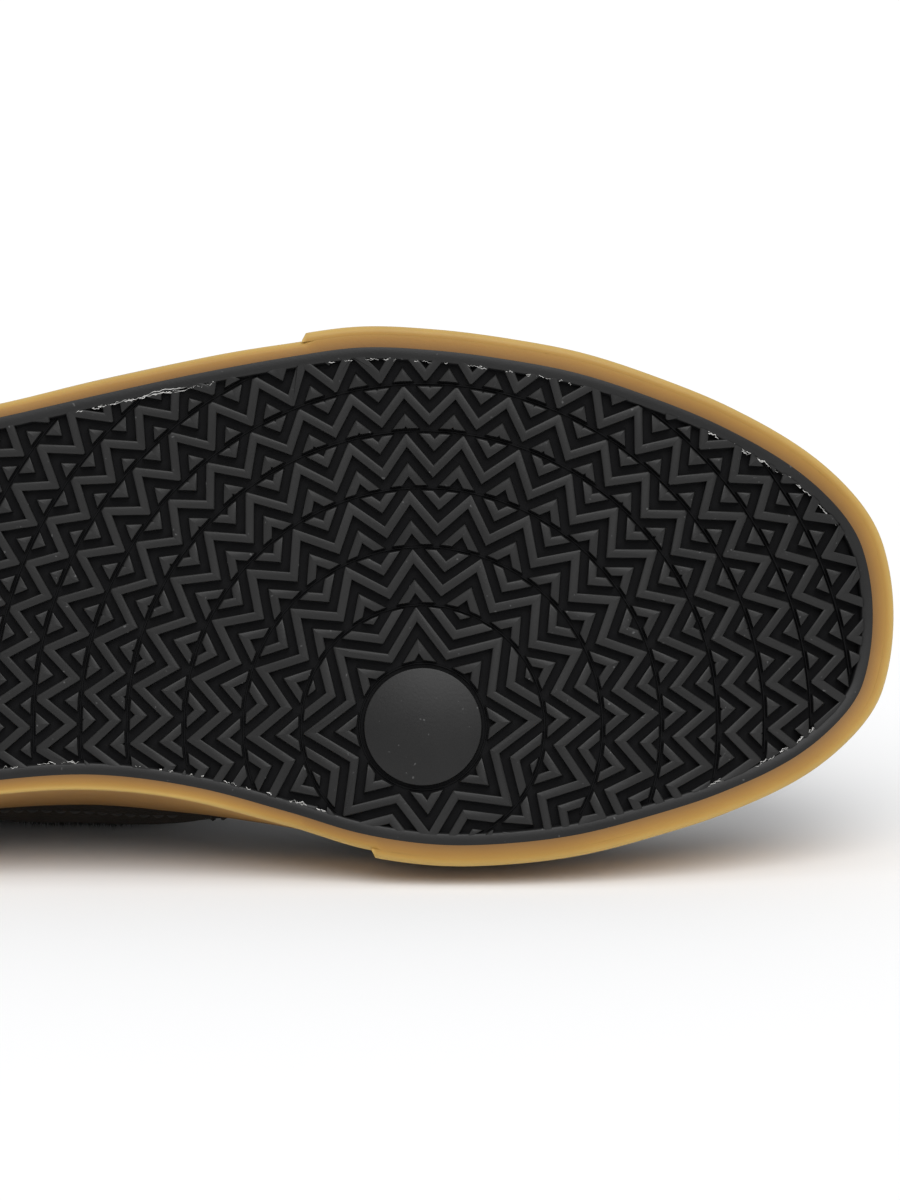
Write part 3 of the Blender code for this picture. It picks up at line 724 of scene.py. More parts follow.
def gum_rubber():
    """Translucent honey-coloured rubber with painted light: deep amber painted shade beside the tread and a
    pale painted highlight at its thin outer edge.
    """
    material, tree, shader = new_material("gum_side", (0.40, 0.225, 0.062), 0.45, 0.35)
    # Painted light: painted shade beside the tread, painted highlight at the band's outer edge
    painted_light = add_node(tree, "ShaderNodeAttribute", attribute_name="painted_light")
    painted = ramp(tree, painted_light.outputs["Fac"], GUM_TONES_AND_PAINTED_LIGHT)
    cloud = object_noise(tree, 26.0, detail=4.0)
    stain = ramp(tree, cloud, ((0.28, (0.84, 0.81, 0.78)), (0.70, (1.0, 1.0, 1.0))))
    tree.links.new(mix_colours(tree, painted, stain, "MULTIPLY"), shader.inputs["Base Color"])
    set_sockets(shader, Subsurface_Weight=0.10, Subsurface_Scale=0.0015)
    set_sockets(shader, Subsurface_Radius=(1.0, 0.45, 0.15))
    map_range(tree, cloud, 0.38, 0.54, shader.inputs["Roughness"])
    add_bump(tree, shader, object_noise(tree, 340.0, detail=3.0), 0.0001, 0.4)
    add_bump(tree, shader, object_noise(tree, 2200.0, detail=1.0), 0.00003, 0.4)
    return material


def suede():
    """Black suede with a brushed nap."""
    material, tree, shader = new_material("suede_nap", (0.014, 0.011, 0.008), 0.95, 0.10)
    brushed = object_noise(tree, 48.0, detail=5.0, stretch=(1.0, 1.0, 2.2))
    base = ramp(tree, brushed, ((0.32, (0.0066, 0.0054, 0.0043)), (0.70, (0.0180, 0.0150, 0.0120))))
    tree.links.new(base, shader.inputs["Base Color"])
    set_sockets(shader, Sheen_Weight=0.10, Sheen_Roughness=0.45, Sheen_Tint=(0.55, 0.48, 0.42, 1.0))
    add_bump(tree, shader, object_noise(tree, 950.0, detail=5.0, roughness=0.7), 0.0004, 0.7)
    add_bump(tree, shader, object_noise(tree, 120.0, detail=3.0), 0.0006, 0.35)
    return material


def lining_cloth():
    """Black knitted lining with a fine even mesh of small pits."""
    light = (0.026, 0.026, 0.026)
    material, tree, shader = new_material("knit_lining", light, 0.9, 0.2)
    place = tree.nodes.new("ShaderNodeTexCoord")
    cells = add_node(tree, "ShaderNodeTexVoronoi", scale=800.0)
    tree.links.new(place.outputs["Object"], cells.inputs["Vector"])
    colours = ((0.20, light), (0.60, (0.009, 0.009, 0.009)))
    tree.links.new(ramp(tree, cells.outputs["Distance"], colours), shader.inputs["Base Color"])
    add_bump(tree, shader, cells.outputs["Distance"], 0.0003, 0.6)
    return material


def lace_cloth():
    """Flat braided lace: the weave runs in chevrons along the strip."""
    material, tree, shader = new_material("lace_braid", (0.020, 0.020, 0.020), 0.85, 0.25)
    place = tree.nodes.new("ShaderNodeTexCoord")
    split = tree.nodes.new("ShaderNodeSeparateXYZ")
    tree.links.new(place.outputs["UV"], split.inputs["Vector"])

    def math_node(operation, first, second=None, value=None):
        node = tree.nodes.new("ShaderNodeMath")
        node.operation = operation
        tree.links.new(first, node.inputs[0])
        if second is not None:
            tree.links.new(second, node.inputs[1])
        elif value is not None:
            node.inputs[1].default_value = value
        return node.outputs["Value"]

    centred = math_node("SUBTRACT", split.outputs["X"], value=0.5)
    folded = math_node("ABSOLUTE", centred)
    slanted = math_node("ADD", folded, split.outputs["Y"])
    waves = math_node("SINE", math_node("MULTIPLY", slanted, value=44.0))
    ribs = math_node("SINE", math_node("MULTIPLY", split.outputs["X"], value=50.0))
    weave = math_node("MULTIPLY", waves, ribs)
    colours = ((0.0, (0.011, 0.011, 0.011)), (1.0, (0.030, 0.030, 0.030)))
    tree.links.new(ramp(tree, weave, colours), shader.inputs["Base Color"])
    add_bump(tree, shader, weave, 0.00012)
    return material


def thread():
    """Black sewing thread."""
    material, tree, shader = new_material("sewing_thread", (0.030, 0.028, 0.026), 0.7)
    add_bump(tree, shader, object_noise(tree, 3500.0, detail=1.0), 0.00004, 0.6)
    return material


def flash_painted_highlight():
    """Thin torn rubber, painted pale grey as a painted highlight where it catches the light."""
    material, tree, shader = new_material("flash_painted_highlight", (0.30, 0.29, 0.27), 0.6)
    shade_noise = object_noise(tree, 700.0, detail=1.0)
    colours = ((0.28, (0.20, 0.20, 0.19)), (0.60, (0.70, 0.69, 0.67)))
    tree.links.new(ramp(tree, shade_noise, colours), shader.inputs["Base Color"])
    return material


def floor_material():
    """Pale matt floor."""
    material, _, _ = new_material("studio_floor", (0.90, 0.90, 0.90), 0.9, 0.0)
    return material


# Tread


def clip(polygon, normal, limit, open_edge):
    """Part of a polygon with normal . point <= limit. A corner is (point, edge after it is open)."""
    kept = []
    for k, (a, tag) in enumerate(polygon):
        b = polygon[(k + 1) % len(polygon)][0]
        over_a, over_b = normal.dot(a) - limit, normal.dot(b) - limit
        if over_a <= 0.0:
            kept.append((a, tag))
        if (over_a <= 0.0) != (over_b <= 0.0):
            cut = a.lerp(b, over_a / (over_a - over_b))
            kept.append((cut, open_edge if over_a <= 0.0 else tag))
    return kept


def reverse_polygon(polygon):
    """The same polygon the other way round, each edge keeping its tag."""
    count = len(polygon)
    return [(polygon[count - 1 - k][0], polygon[(count - 2 - k) % count][1]) for k in range(count)]


def direction(angle):
    """Unit vector in plan at an angle from the x axis."""
    return Vector((math.cos(angle), math.sin(angle)))


def polygon_area(points):
    """Area of a polygon whose corners run anticlockwise, and minus the area of one that runs clockwise."""
    return sum(a.cross(b) for a, b in zip(points, points[1:] + points[:1])) / 2


def inset(polygon, distance):
    """Corners moved in from the open edges only; negative distances move them out."""
    moved = []
    count = len(polygon)
    for k in range(count):
        before, here, after = polygon[k - 1], polygon[k], polygon[(k + 1) % count]
        into = (here[0] - before[0]).normalized()
        away = (after[0] - here[0]).normalized()
        first, second = Vector((-into.y, into.x)), Vector((-away.y, away.x))
        reach_a = distance if before[1] else 0.0
        reach_b = distance if here[1] else 0.0
        turning = first.cross(second)
        if abs(turning) < 0.05:
            shift = (first + second) * (reach_a + reach_b) / 4
        else:
            shift_x = reach_a * second.y - reach_b * first.y
            shift_y = reach_b * first.x - reach_a * second.x
            shift = Vector((shift_x, shift_y)) / turning
        if shift.length > 3.0 * abs(distance):
            shift *= 3.0 * abs(distance) / shift.length
        moved.append(here[0] + shift)
    return moved


def zigzag(ring, inner, outer, half_angle):
    """Peak and valley radii of a ring's main ridge, measured at its centre line."""
    peak_room, valley_room = RIDGE_ROOM[min(ring, len(RIDGE_ROOM) - 1)]
    peak, valley = outer - peak_room, inner + valley_room
    high, low = peak, valley
    for _ in range(20):
        across = low * math.sin(half_angle)
        climb = high - low * math.cos(half_angle)
        lean = math.atan2(across, climb)
        high = peak - BAR_WIDTH / 2 / math.sin(lean)
        low = valley + BAR_WIDTH / 2 / math.sin(lean + half_angle)
    return high, low


def half_tooth_bars(ring, inner, outer, teeth):
    """Bars of half a tooth as polygons, with the peak along +x and the valley at the half angle."""
    half_angle = math.pi / teeth
    high, low = zigzag(ring, inner, outer, half_angle)
    start = Vector((high, 0.0))
    valley = Vector((low * math.cos(half_angle), low * math.sin(half_angle)))
    along = (valley - start).normalized()
    outwards = Vector((along.y, -along.x))
    if outwards.dot(start) < 0.0:
        outwards = -outwards
    bars = []
    for step in range(-3, 4):
        centre = start + outwards * step * BAR_PITCH
        corners = [
            centre + along * reach * BAR_REACH + outwards * side * BAR_WIDTH / 2
            for reach, side in ((-1, 1), (-1, -1), (1, -1), (1, 1))
        ]
        polygon = [(corner, True) for corner in corners]
        if polygon_area(corners) < 0.0:
            polygon = reverse_polygon(polygon)
        polygon = clip(polygon, Vector((0.0, -1.0)), 0.0, False)
        polygon = clip(polygon, Vector((-math.sin(half_angle), math.cos(half_angle))), 0.0, False)
        for share in (1 / 6, 3 / 6, 5 / 6):
            polygon = clip(polygon, direction(half_angle * share), outer - RING_GAP, True)
        polygon = clip(polygon, -direction(half_angle / 2), -(inner + RING_GAP), True)
        if len(polygon) > 2:
            bars.append(polygon)
    return bars


class Field:
    """The tread field inside the rim, as many short tangents."""

    def __init__(self):
        turns = even_turns(FIELD_TANGENTS)
        self.points = plan_at(turns)
        self.normals = plan_normal(turns)

    def nearest(self, point):
        gaps = np.sum((self.points - np.array(point)) ** 2, axis=1)
        return int(np.argmin(gaps))

    def depth(self, point):
        """How far a point lies inside the outsole's edge."""
        index = self.nearest(point)
        return float(np.dot(self.points[index] - np.array(point), self.normals[index]))

    def clipped(self, polygon):
        """Part of a polygon inside the rim, joined to it without a bevel."""
        for corner in [point for point, _ in polygon]:
            index = self.nearest(corner)
            normal = Vector(self.normals[index])
            limit = normal.dot(Vector(self.points[index])) - (RIM_WIDTH - RIM_OVERLAP)
            if normal.dot(corner) > limit:
                polygon = clip(polygon, normal, limit, False)
            if len(polygon) < 3:
                return []
        return polygon


def shoulder_for(polygon):
    """Widest shoulder that folds no edge of the flat top, or else the narrowest; 0 without a top."""
    corners = [point for point, _ in polygon]
    shoulder = 0.0
    for share in (1.0, 0.65, 0.4):
        top = inset(polygon, BAR_SHOULDER * share)
        if polygon_area(top) < SMALLEST_BAR:
            continue
        shoulder = BAR_SHOULDER * share
        edges = zip(corners, corners[1:] + corners[:1], top, top[1:] + top[:1])
        if all((b - a).normalized().dot(d - c) > -LARGEST_FOLD for a, b, c, d in edges):
            break
    return shoulder


def add_bar(points, faces, polygon):
    """Ridge over a polygon: flat top, rounded shoulders and slightly drafted walls."""
    ends = polygon[1:] + polygon[:1]
    polygon = [corner for corner, end in zip(polygon, ends) if (end[0] - corner[0]).length > SHORTEST_EDGE]
    shoulder = shoulder_for(polygon)
    if shoulder == 0.0:
        return
    rings = (
        (shoulder, 0.0),
        (shoulder * 0.45, shoulder * 0.16),
        (shoulder * 0.10, shoulder * 0.48),
        (0.0, shoulder),
        (-BAR_DRAFT, TREAD_DEPTH + 0.0001),
    )
    sections = []
    for inward, lift in rings:
        sections.append([(p.x, p.y, float(sole_bottom(p.x)) + lift) for p in inset(polygon, inward)])
    add_tube(points, faces, sections, open_end=True)


def ring_edges():
    """Inner and outer radius of each ring of teeth, from the disc to the heel."""
    radii = list(RING_RADII)
    while len(radii) <= RING_COUNT + 1:
        radii.append(radii[-1] + RING_PITCH)
    return list(zip(radii, radii[1:]))


def tread_mesh(field):
    """All ridges of the herringbone, with the fine rib that runs between its rings."""
    centre = Vector((PIVOT_DISC[0] * SOLE_LENGTH, PIVOT_DISC[1] * BALL_WIDTH))
    points, faces = [], []
    for number, (inner, outer) in enumerate(ring_edges()):
        teeth = TEETH_STEP * (number + 1)
        bars = half_tooth_bars(number, inner, outer, teeth)
        for tooth in range(teeth):
            peak = FIRST_PEAK + math.tau * tooth / teeth
            facing = direction(peak)
            middle = centre + facing * (inner + outer) / 2
            if field.depth(middle) < -CLEAR_OUTSIDE:
                continue
            for side in (1, -1):
                place = Matrix(((facing.x, -facing.y * side), (facing.y, facing.x * side)))
                for bar in bars:
                    polygon = [(centre + place @ corner, tag) for corner, tag in bar]
                    if side < 0:
                        polygon = reverse_polygon(polygon)
                    polygon = field.clipped(polygon)
                    if len(polygon) > 2:
                        add_bar(points, faces, polygon)
        add_rib(points, faces, field, centre, inner)
    return points, faces


def add_rib(points, faces, field, centre, radius):
    """Fine raised line on the floor of the field, along one circle."""
    count = max(48, int(radius * RIB_STEPS_PER_METRE))
    previous = None
    for k in range(count + 1):
        facing = direction(math.tau * k / count)
        spot = centre + facing * radius
        if field.depth(spot) < RIM_WIDTH:
            previous = None
            continue
        here = len(points)
        for offset, lift in ((-0.9, 0.0), (-0.4, -RIB_HEIGHT), (0.4, -RIB_HEIGHT), (0.9, 0.0)):
            p = spot + facing * offset * RIB_WIDTH
            points.append((p.x, p.y, float(sole_bottom(p.x)) + TREAD_DEPTH + lift))
        if previous is not None:
            faces += [(previous + j, previous + j + 1, here + j + 1, here + j) for j in range(3)]
        previous = here


def add_disc(points, faces, segments=96):
    """Flat pivot disc with a softly rounded edge."""
    x, y = PIVOT_DISC[0] * SOLE_LENGTH, PIVOT_DISC[1] * BALL_WIDTH
    rings = (
        (DISC_RADIUS - DISC_BEVEL, 0.0),
        (DISC_RADIUS - DISC_BEVEL * 0.3, DISC_BEVEL * 0.3),
        (DISC_RADIUS, DISC_BEVEL),
        (DISC_RADIUS + 0.00015, TREAD_DEPTH + 0.0001),
    )
    sections = [circle((x, y, lift), (1, 0, 0), (0, 1, 0), radius, segments) for radius, lift in rings]
    add_tube(points, faces, sections, open_end=True)


def make_outsole(top_material, groove_material):
    """Sole with its rim, its recessed field, the disc and the ridges."""
    turns = even_turns(COLUMNS_ROUND)
    plan, normal = plan_at(turns), plan_normal(turns)
    bottom = sole_bottom(plan[:, 0])
    points = []
    rings = (
        (RIM_WIDTH + 0.00045, TREAD_DEPTH),
        (RIM_WIDTH + 0.00008, 0.00030),
        (RIM_WIDTH - 0.00010, 0.00008),
        (RIM_WIDTH - 0.00035, 0.0),
        (0.00020, 0.0),
        (0.00006, 0.00006),
        (0.0, 0.00020),
    )
    for inward, lift in rings:
        points += list(np.column_stack([plan - normal * inward, bottom + lift]))
    points += list(np.column_stack([plan, bottom + sole_thickness(plan[:, 0])]))
    faces = capped_grid(len(rings) + 1, COLUMNS_ROUND)
    add_disc(points, faces)
    ridge_points, ridge_faces = tread_mesh(Field())
    start = len(points)
    points += ridge_points
    faces += [tuple(start + k for k in face) for face in ridge_faces]
    obj = add_piece("outsole_tread", points, faces, [top_material, groove_material], smooth=42.0)
    places = np.array(points)
    deep = places[:, 2] - sole_bottom(places[:, 0]) > TREAD_DEPTH / 2
    for polygon in obj.data.polygons:
        polygon.material_index = int(any(deep[index] for index in polygon.vertices))
    return obj


def turn_at(side, station):
    """Turn of the outline's point at a station on one side."""
    points, shares = OUTLINE[side]
    return around(side, float(np.interp(station * SOLE_LENGTH, points[:, 0], shares)))


def make_flash(material):
    """Threads of torn rubber along the inner edge of the rim."""
    picks = random.Random(RANDOM_SEED)
    points, faces = [], []
    for side, low, high, count, longest, thickest in FLASH:
        for _ in range(count):
            turn = turn_at(side, picks.uniform(low, high))
            length = picks.uniform(0.3, 1.0) * longest
            radius = picks.uniform(0.4, 1.0) * thickest
            turns = turn + np.linspace(0.0, length, 7 + int(length / FLASH_STEP)) / WAY_ROUND
            wander = np.cumsum([picks.uniform(-FLASH_SWAY, FLASH_SWAY) for _ in turns])
            wander -= np.linspace(0.0, wander[-1], len(turns))
            lifts = np.array([picks.uniform(*FLASH_LIFT) for _ in turns])
            spots = edge_points(turns, -RIM_WIDTH - 0.0001 - wander, lifts)
            sections = []
            for k, (spot, out) in enumerate(zip(spots, plan_normal(turns))):
                taper = min(1.0, 2.0 * math.sin(math.pi * (k + 0.6) / (len(turns) + 0.2)))
                fat = radius * taper * picks.uniform(0.6, 1.0)
                sections.append(circle(spot, (*out, 0.0), UP, fat, 5))
            add_tube(points, faces, sections)
    return add_closed("mould_flash", points, faces, [material])


# Side bands


def rounded_band(inner, outer, top, low_round, high_round, steps=5):
    """Cross-section of a side strip as (out, up) pairs, with round outer edges."""
    section = [(inner, 0.0)]
    for radius, up, start in ((low_round, low_round, -90.0), (high_round, top - high_round, 0.0)):
        for k in range(steps + 1):
            angle = math.radians(start + 90.0 * k / steps)
            section.append((outer - radius + radius * math.cos(angle), up + radius * math.sin(angle)))
        if start < 0.0:
            for share in (0.08, 0.3, 0.5, 0.7, 0.92):
                section.append((outer, low_round + (top - low_round - high_round) * share))
    section.append((inner, top))
    return np.array(section)


def bumper_ends():
    """Turns of the bumper's two ends."""
    return around(1, BUMPER_ENDS[0]), around(-1, BUMPER_ENDS[1])


def under_bumper(turns):
    """1 where the bumper covers the foxing, 0 elsewhere."""
    start, end = bumper_ends()
    return smooth_step(start, start + 0.004, turns) * (1.0 - smooth_step(end - 0.004, end, turns))


def add_painted_light(obj, values):
    """Painted light for the gum's colour: share of the way from the tread to the band's thin outer edge,
    from painted shade to painted highlight.
    """
    layer = obj.data.attributes.new("painted_light", "FLOAT", "POINT")
    layer.data.foreach_set("value", values)


def make_foxing(material):
    """Gum band round the sole, with the faint unevenness of a strip laid on by hand."""
    turns = even_turns(COLUMNS_ROUND)
    plan = plan_at(turns)
    sides, _ = sides_and_shares(turns)
    station = plan[:, 0] / SOLE_LENGTH
    tops = foxing_height(plan[:, 0])
    covered = under_bumper(turns)
    crisp = smooth_step(0.26, 0.42, station) * (1.0 - smooth_step(0.50, 0.62, station)) * (sides > 0)
    low_rounds = BAND_ROUND + (BAND_ROUND_WAIST - BAND_ROUND) * np.maximum(crisp, covered)
    wave = 0.00008 * np.sin(turns * 61.0) + 0.00006 * np.sin(turns * 139.0 + 1.0) - 0.00014
    outer = GAP + FOXING_THICKNESS
    sections, painted_light = [], []
    for k, turn in enumerate(turns):
        section = rounded_band(-BAND_OVERLAP, outer, tops[k], low_rounds[k], BAND_ROUND_TOP)
        out, up = section[:, 0], section[:, 1]
        reach = outer + (GAP + BUMPER_THICKNESS) * covered[k]
        # Painted shade: at the inner waist the side wall is darker towards its top
        wall = WALL_PAINTED_LIGHT - crisp[k] * (0.22 + 0.25 * up / tops[k])
        # Painted light: the band's face goes from painted shade beside the tread to a painted highlight at
        # its outer edge
        painted_light += np.where(up <= low_rounds[k] + 1e-6, np.maximum(out, 0.0) / reach, wall).tolist()
        out = out + np.where(out > outer / 2, wave[k], 0.0)
        sections.append(edge_points(np.full(len(section), turn), out, up))
    obj = add_tube_piece("foxing_band", sections, material, 50.0, closed_path=True)
    add_painted_light(obj, painted_light)
    return obj


def make_bumper(material):
    """Second gum strip round the toe, its two ends rounded off."""
    start, end = bumper_ends()
    turns = np.linspace(start, end, 260)
    reach = np.minimum(turns - start, end - turns) / BUMPER_END_LENGTH
    swell = np.sqrt(np.clip(1.0 - (1.0 - np.clip(reach * 2.4, 0.0, 1.0)) ** 2, 0.0, 1.0))
    inner = GAP + FOXING_THICKNESS - BUMPER_OVERLAP
    sections, painted_light = [], []
    for turn, share in zip(turns, swell):
        top = float(foxing_height(plan_at(np.array([turn]))[0, 0])) - BUMPER_DROP
        outer = inner + 0.0004 + (GAP + BUMPER_THICKNESS + 0.0001) * float(share)
        low_round = (outer - inner) * 0.7
        section = rounded_band(inner, outer, top, low_round, min(BAND_ROUND_TOP, low_round), steps=4)
        # Painted light: the bumper's face takes the painted highlight towards its outer edge, its side wall
        # the wall's tone
        painted_light += np.where(section[:, 1] <= low_round + 1e-6, section[:, 0] / outer, WALL_PAINTED_LIGHT).tolist()
        sections.append(edge_points(np.full(len(section), turn), section[:, 0], section[:, 1]))
    obj = add_tube_piece("toe_bumper_strip", sections, material, 50.0)
    add_painted_light(obj, painted_light)
    return obj


# Upper


def soft_trough(points, path, width, depth):
    """Depth below the surface of a crease along a path, with low ridges beside it."""
    gaps = np.linalg.norm(points[:, None, :] - path[None, :, :], axis=2)
    near = gaps.min(axis=1)
    along = gaps.argmin(axis=1) / (len(path) - 1)
    fade = np.clip(np.sin(np.pi * np.clip(along, 0.02, 0.98)) * 1.6, 0.0, 1.0)
    trough = np.exp(-((near / width) ** 2))
    ridge = 0.45 * np.exp(-(((near - 2.0 * width) / (0.9 * width)) ** 2))
    return depth * fade * (trough - ridge)


def collar_seam(share):
    """Rise of the seam below the padded collar: level round the heel, then up to the eyestay's seam."""
    return COLLAR_SEAM_RISE + COLLAR_SEAM_CLIMB * smooth_step(0.33, EYESTAY_START, share)


def upper_relief(turns, rises, points):
    """Small swellings and creases on the outside of the upper."""
    flat = points.reshape(-1, 3)
    sink = np.zeros(len(flat))
    for side, share_a, rise_a, share_b, rise_b, width, depth in CREASES:
        t = np.linspace(0.0, 1.0, 24)
        bow = 0.012 * np.sin(math.pi * t)
        shares = share_a + (share_b - share_a) * t + bow
        path = last_points(around(side, shares), rise_a + (rise_b - rise_a) * t)
        sink += np.maximum(soft_trough(flat, path, width, depth), -0.0001)
    sink = sink.reshape(turns.shape)
    _, share = sides_and_shares(turns)
    from_seam = (rises - collar_seam(share)) / 0.012
    seam = SEAM_DEPTH * np.exp(-(from_seam**2)) * (1.0 - smooth_step(0.40, 0.44, share))
    heel = HEEL_SEAM_DEPTH * np.exp(-((share / 0.004) ** 2)) * (rises > 0.2)
    x, y, z = flat.T
    ripple = RIPPLE * (np.sin(x * 210.0 + 1.3) * np.sin(z * 260.0 + y * 90.0) - 1.0)
    edge = 1.0 - smooth_step(0.94, 1.0, rises)
    clear = smooth_step(FOXING_ROW + 0.02, FOXING_ROW + 0.08, rises)
    return (ripple.reshape(turns.shape) - sink) * edge * clear - seam - heel


def surface_points(turns, rises):
    """Points on the outside of the upper with its relief, and the normals there."""
    points, normals = outer_points(turns, rises)
    return points + normals * upper_relief(turns, rises, points)[..., None], normals


def upper_turns():
    """Columns of the upper, with extra ones at the front edge of each quarter."""
    extra = []
    for side in (1, -1):
        extra += [around(side, QUARTER_SEAM + offset) for offset in (-QUARTER_RAMP, 0.0, QUARTER_RAMP)]
    return np.unique(np.round(np.concatenate([even_turns(COLUMNS_ROUND), extra]), 7))


def make_upper(suede_material, lining_material):
    """Hollow shell with its quarters a layer thicker, padded at the collar and punched for the lace."""
    turns = upper_turns()
    count = len(turns)
    under_foxing = [0.0, 0.07, FOXING_ROW, FOXING_ROW + 0.004]
    outer_rises = np.concatenate([under_foxing, np.linspace(0.16, 0.97, 60), [0.985, 1.0]])
    inner_rises = np.concatenate([np.linspace(1.0, FOXING_ROW, 22), [0.07, 0.0]])
    grid_turns, grid_rises = np.meshgrid(turns, outer_rises)
    outer, _ = surface_points(grid_turns, grid_rises)
    lip = last_points(grid_turns[-1], grid_rises[-1]) * 0.5 + outer[-1] * 0.5
    lip = lip + unit(outer[-1] - outer[-2]) * 0.0007
    inner_turns, inner_grid = np.meshgrid(turns, inner_rises)
    inner = last_points(inner_turns, inner_grid)
    points = list(outer.reshape(-1, 3)) + list(lip) + list(inner.reshape(-1, 3))
    rows = len(outer_rises) + 1 + len(inner_rises)
    faces = grid_faces(rows, count, True)
    last = (rows - 1) * count
    faces += [(last + (k + 1) % count, last + k, k, (k + 1) % count) for k in range(count)]
    obj = add_piece("upper_shell", points, faces, [suede_material, lining_material], smooth=50.0)
    for polygon in obj.data.polygons:
        polygon.material_index = int(min(polygon.vertices) // count > len(outer_rises))
    punch_holes(obj)
    return obj


def eyelet_place(side, row):
    """Turn and rise of a lace hole: rows evenly spaced along the throat."""
    first = THROAT_LINE[1][1] + 0.017
    last = THROAT_LINE[3][1] - 0.012
    station = (first + (last - first) * row / (EYELET_ROWS - 1)) * SOLE_LENGTH
    shares = np.linspace(THROAT_LINE[1][0], THROAT_LINE[3][0], 2000)
    stations = top_line(shares / 2)[:, 0]
    turn = around(side, float(shares[np.searchsorted(stations, station)]))
    rises = np.arange(1.0, 0.5, -0.002)
    line = last_points(turn, rises)
    index = int(np.argmax(np.linalg.norm(line - line[0], axis=1) >= EYELET_INSET))
    return turn, float(rises[index])


def punch_holes(upper):
    """Cuts the lace holes through the wall."""
    bm = bmesh.new()
    for side in (1, -1):
        for row in range(EYELET_ROWS):
            turn, rise = eyelet_place(side, row)
            spot = Vector(last_points(turn, rise))
            normal = Vector(last_normals(turn, rise))
            place = Matrix.Translation(spot) @ normal.to_track_quat("Z", "Y").to_matrix().to_4x4()
            size = {"radius1": EYELET_RADIUS, "radius2": EYELET_RADIUS, "depth": CUTTER_LENGTH}
            bmesh.ops.create_cone(bm, cap_ends=True, segments=28, matrix=place, **size)
    mesh = bpy.data.meshes.new("hole_cutters")
    bm.to_mesh(mesh)
    bm.free()
    cutters = bpy.data.objects.new("hole_cutters", mesh)
    bpy.context.scene.collection.objects.link(cutters)
    cutters.matrix_world = POSE
    cut = upper.modifiers.new("holes", "BOOLEAN")
    cut.operation = "DIFFERENCE"
    cut.solver = "EXACT"
    cut.object = cutters
    bpy.context.view_layer.update()
    apply_modifiers(upper)
    bpy.data.objects.remove(cutters, do_unlink=True)


# Seams


def even_path(points, normals, pitch):
    """Points at an even pitch along a line, with their normals."""
    lengths = lengths_along(points)
    stops = np.arange(pitch, lengths[-1] - pitch / 2, pitch)
    return read_columns(stops, lengths, points), unit(read_columns(stops, lengths, normals))


def stitch_row(points, faces, line, normals):
    """Row of stitches: short threads that dive into the surface at both ends."""
    spots, facing = even_path(line, normals, STITCH_PITCH)
    for spot, following, out in zip(spots, spots[1:], facing):
        along = unit(following - spot)
        across = np.cross(along, out)
        sections = []
        for share in np.linspace(-0.5, 0.5, 5):
            lift = STITCH_RADIUS * (0.75 - 6.0 * share * share)
            fat = STITCH_RADIUS * (1.0 if abs(share) < 0.4 else 0.75)
            centre = spot + along * share * STITCH_LENGTH + out * lift
            sections.append(circle(centre, across, out, fat, 5))
        add_tube(points, faces, sections)


def seam_lines():
    """Lines of stitching on the upper, each as arrays of turns and rises."""
    lines = []
    for side in (1, -1):
        rises = np.linspace(FOXING_ROW + 0.012, 0.985, 80)
        for offset in QUARTER_ROWS:
            lines.append((np.full(80, around(side, QUARTER_SEAM - offset)), rises))
        throat = np.linspace(EYESTAY_START, QUARTER_SEAM - 0.0135, 60)
        lines.append(parallel_to_edge(side, throat, THROAT_ROW))
        collar = np.linspace(0.016, 0.452, 160)
        lines.append(parallel_to_edge(side, collar, COLLAR_ROW))
        eyestay_turns, eyestay_rises = parallel_to_edge(side, throat, EYESTAY_WIDTH)
        turns = np.concatenate([around(side, collar), eyestay_turns])
        lines.append((turns, np.concatenate([collar_seam(collar), eyestay_rises])))
        rises = np.linspace(FOXING_ROW + 0.012, 0.96, 70)
        lines.append((np.full(70, around(side, HEEL_ROW)), rises))
        arch = np.linspace(0.018, QUARTER_SEAM - 0.016, 150)
        lines.append((around(side, arch), np.full(150, ARCH_RISE)))
    return lines


def parallel_to_edge(side, shares, inward):
    """Line on the upper at a fixed distance below its top edge."""
    turns = around(side, shares)
    rises = np.linspace(1.0, 0.5, 251)
    found = []
    for turn in turns:
        line = last_points(turn, rises)
        gaps = np.linalg.norm(line - line[0], axis=1)
        found.append(float(np.interp(inward, gaps, rises)))
    return turns, np.array(found)


def make_stitches(material):
    """All stitches of the upper."""
    points, faces = [], []
    for turns, rises in seam_lines():
        stitch_row(points, faces, *surface_points(turns, rises))
    obj = add_closed("seam_stitches", points, faces, [material], smooth=60.0)
    press_flat(obj)
    return obj


def press_flat(obj):
    """Keeps a piece above the floor where the shoe's weight presses it down."""
    for vertex in obj.data.vertices:
        vertex.co.z = max(vertex.co.z, 0.0)


def make_fibres(material):
    """Short fibres of the suede, brushed up where the inner waist bulges most."""
    picks = random.Random(RANDOM_SEED + 1)
    rises = np.linspace(FOXING_ROW + 0.04, 0.60, 60)
    points, faces = [], []
    for _ in range(FIBRE_COUNT):
        turn = turn_at(1, picks.triangular(*FIBRE_STATIONS))
        line, normals = surface_points(np.full(len(rises), turn), rises)
        index = min(max(int(np.argmax(line[:, 1])) + picks.randint(-2, 2), 0), len(rises) - 1)
        bend = np.array([picks.uniform(-1.0, 1.0) for _ in range(3)])
        length = picks.uniform(0.25, 1.0) * FIBRE_LENGTH
        sections = []
        for share in np.linspace(0.0, 1.0, 4):
            spot = line[index] + (normals[index] * (share - 0.2) + bend * 0.55 * share * share) * length
            sections.append(circle(spot, (1, 0, 0), UP, FIBRE_RADIUS * (1.05 - share), 3))
        add_tube(points, faces, sections)
    return add_closed("suede_fibres", points, faces, [material])


# Tongue


def resampled(points, count):
    """The same line with its points evenly spaced."""
    lengths = lengths_along(points)
    return read_columns(np.linspace(0.0, lengths[-1], count), lengths, points)


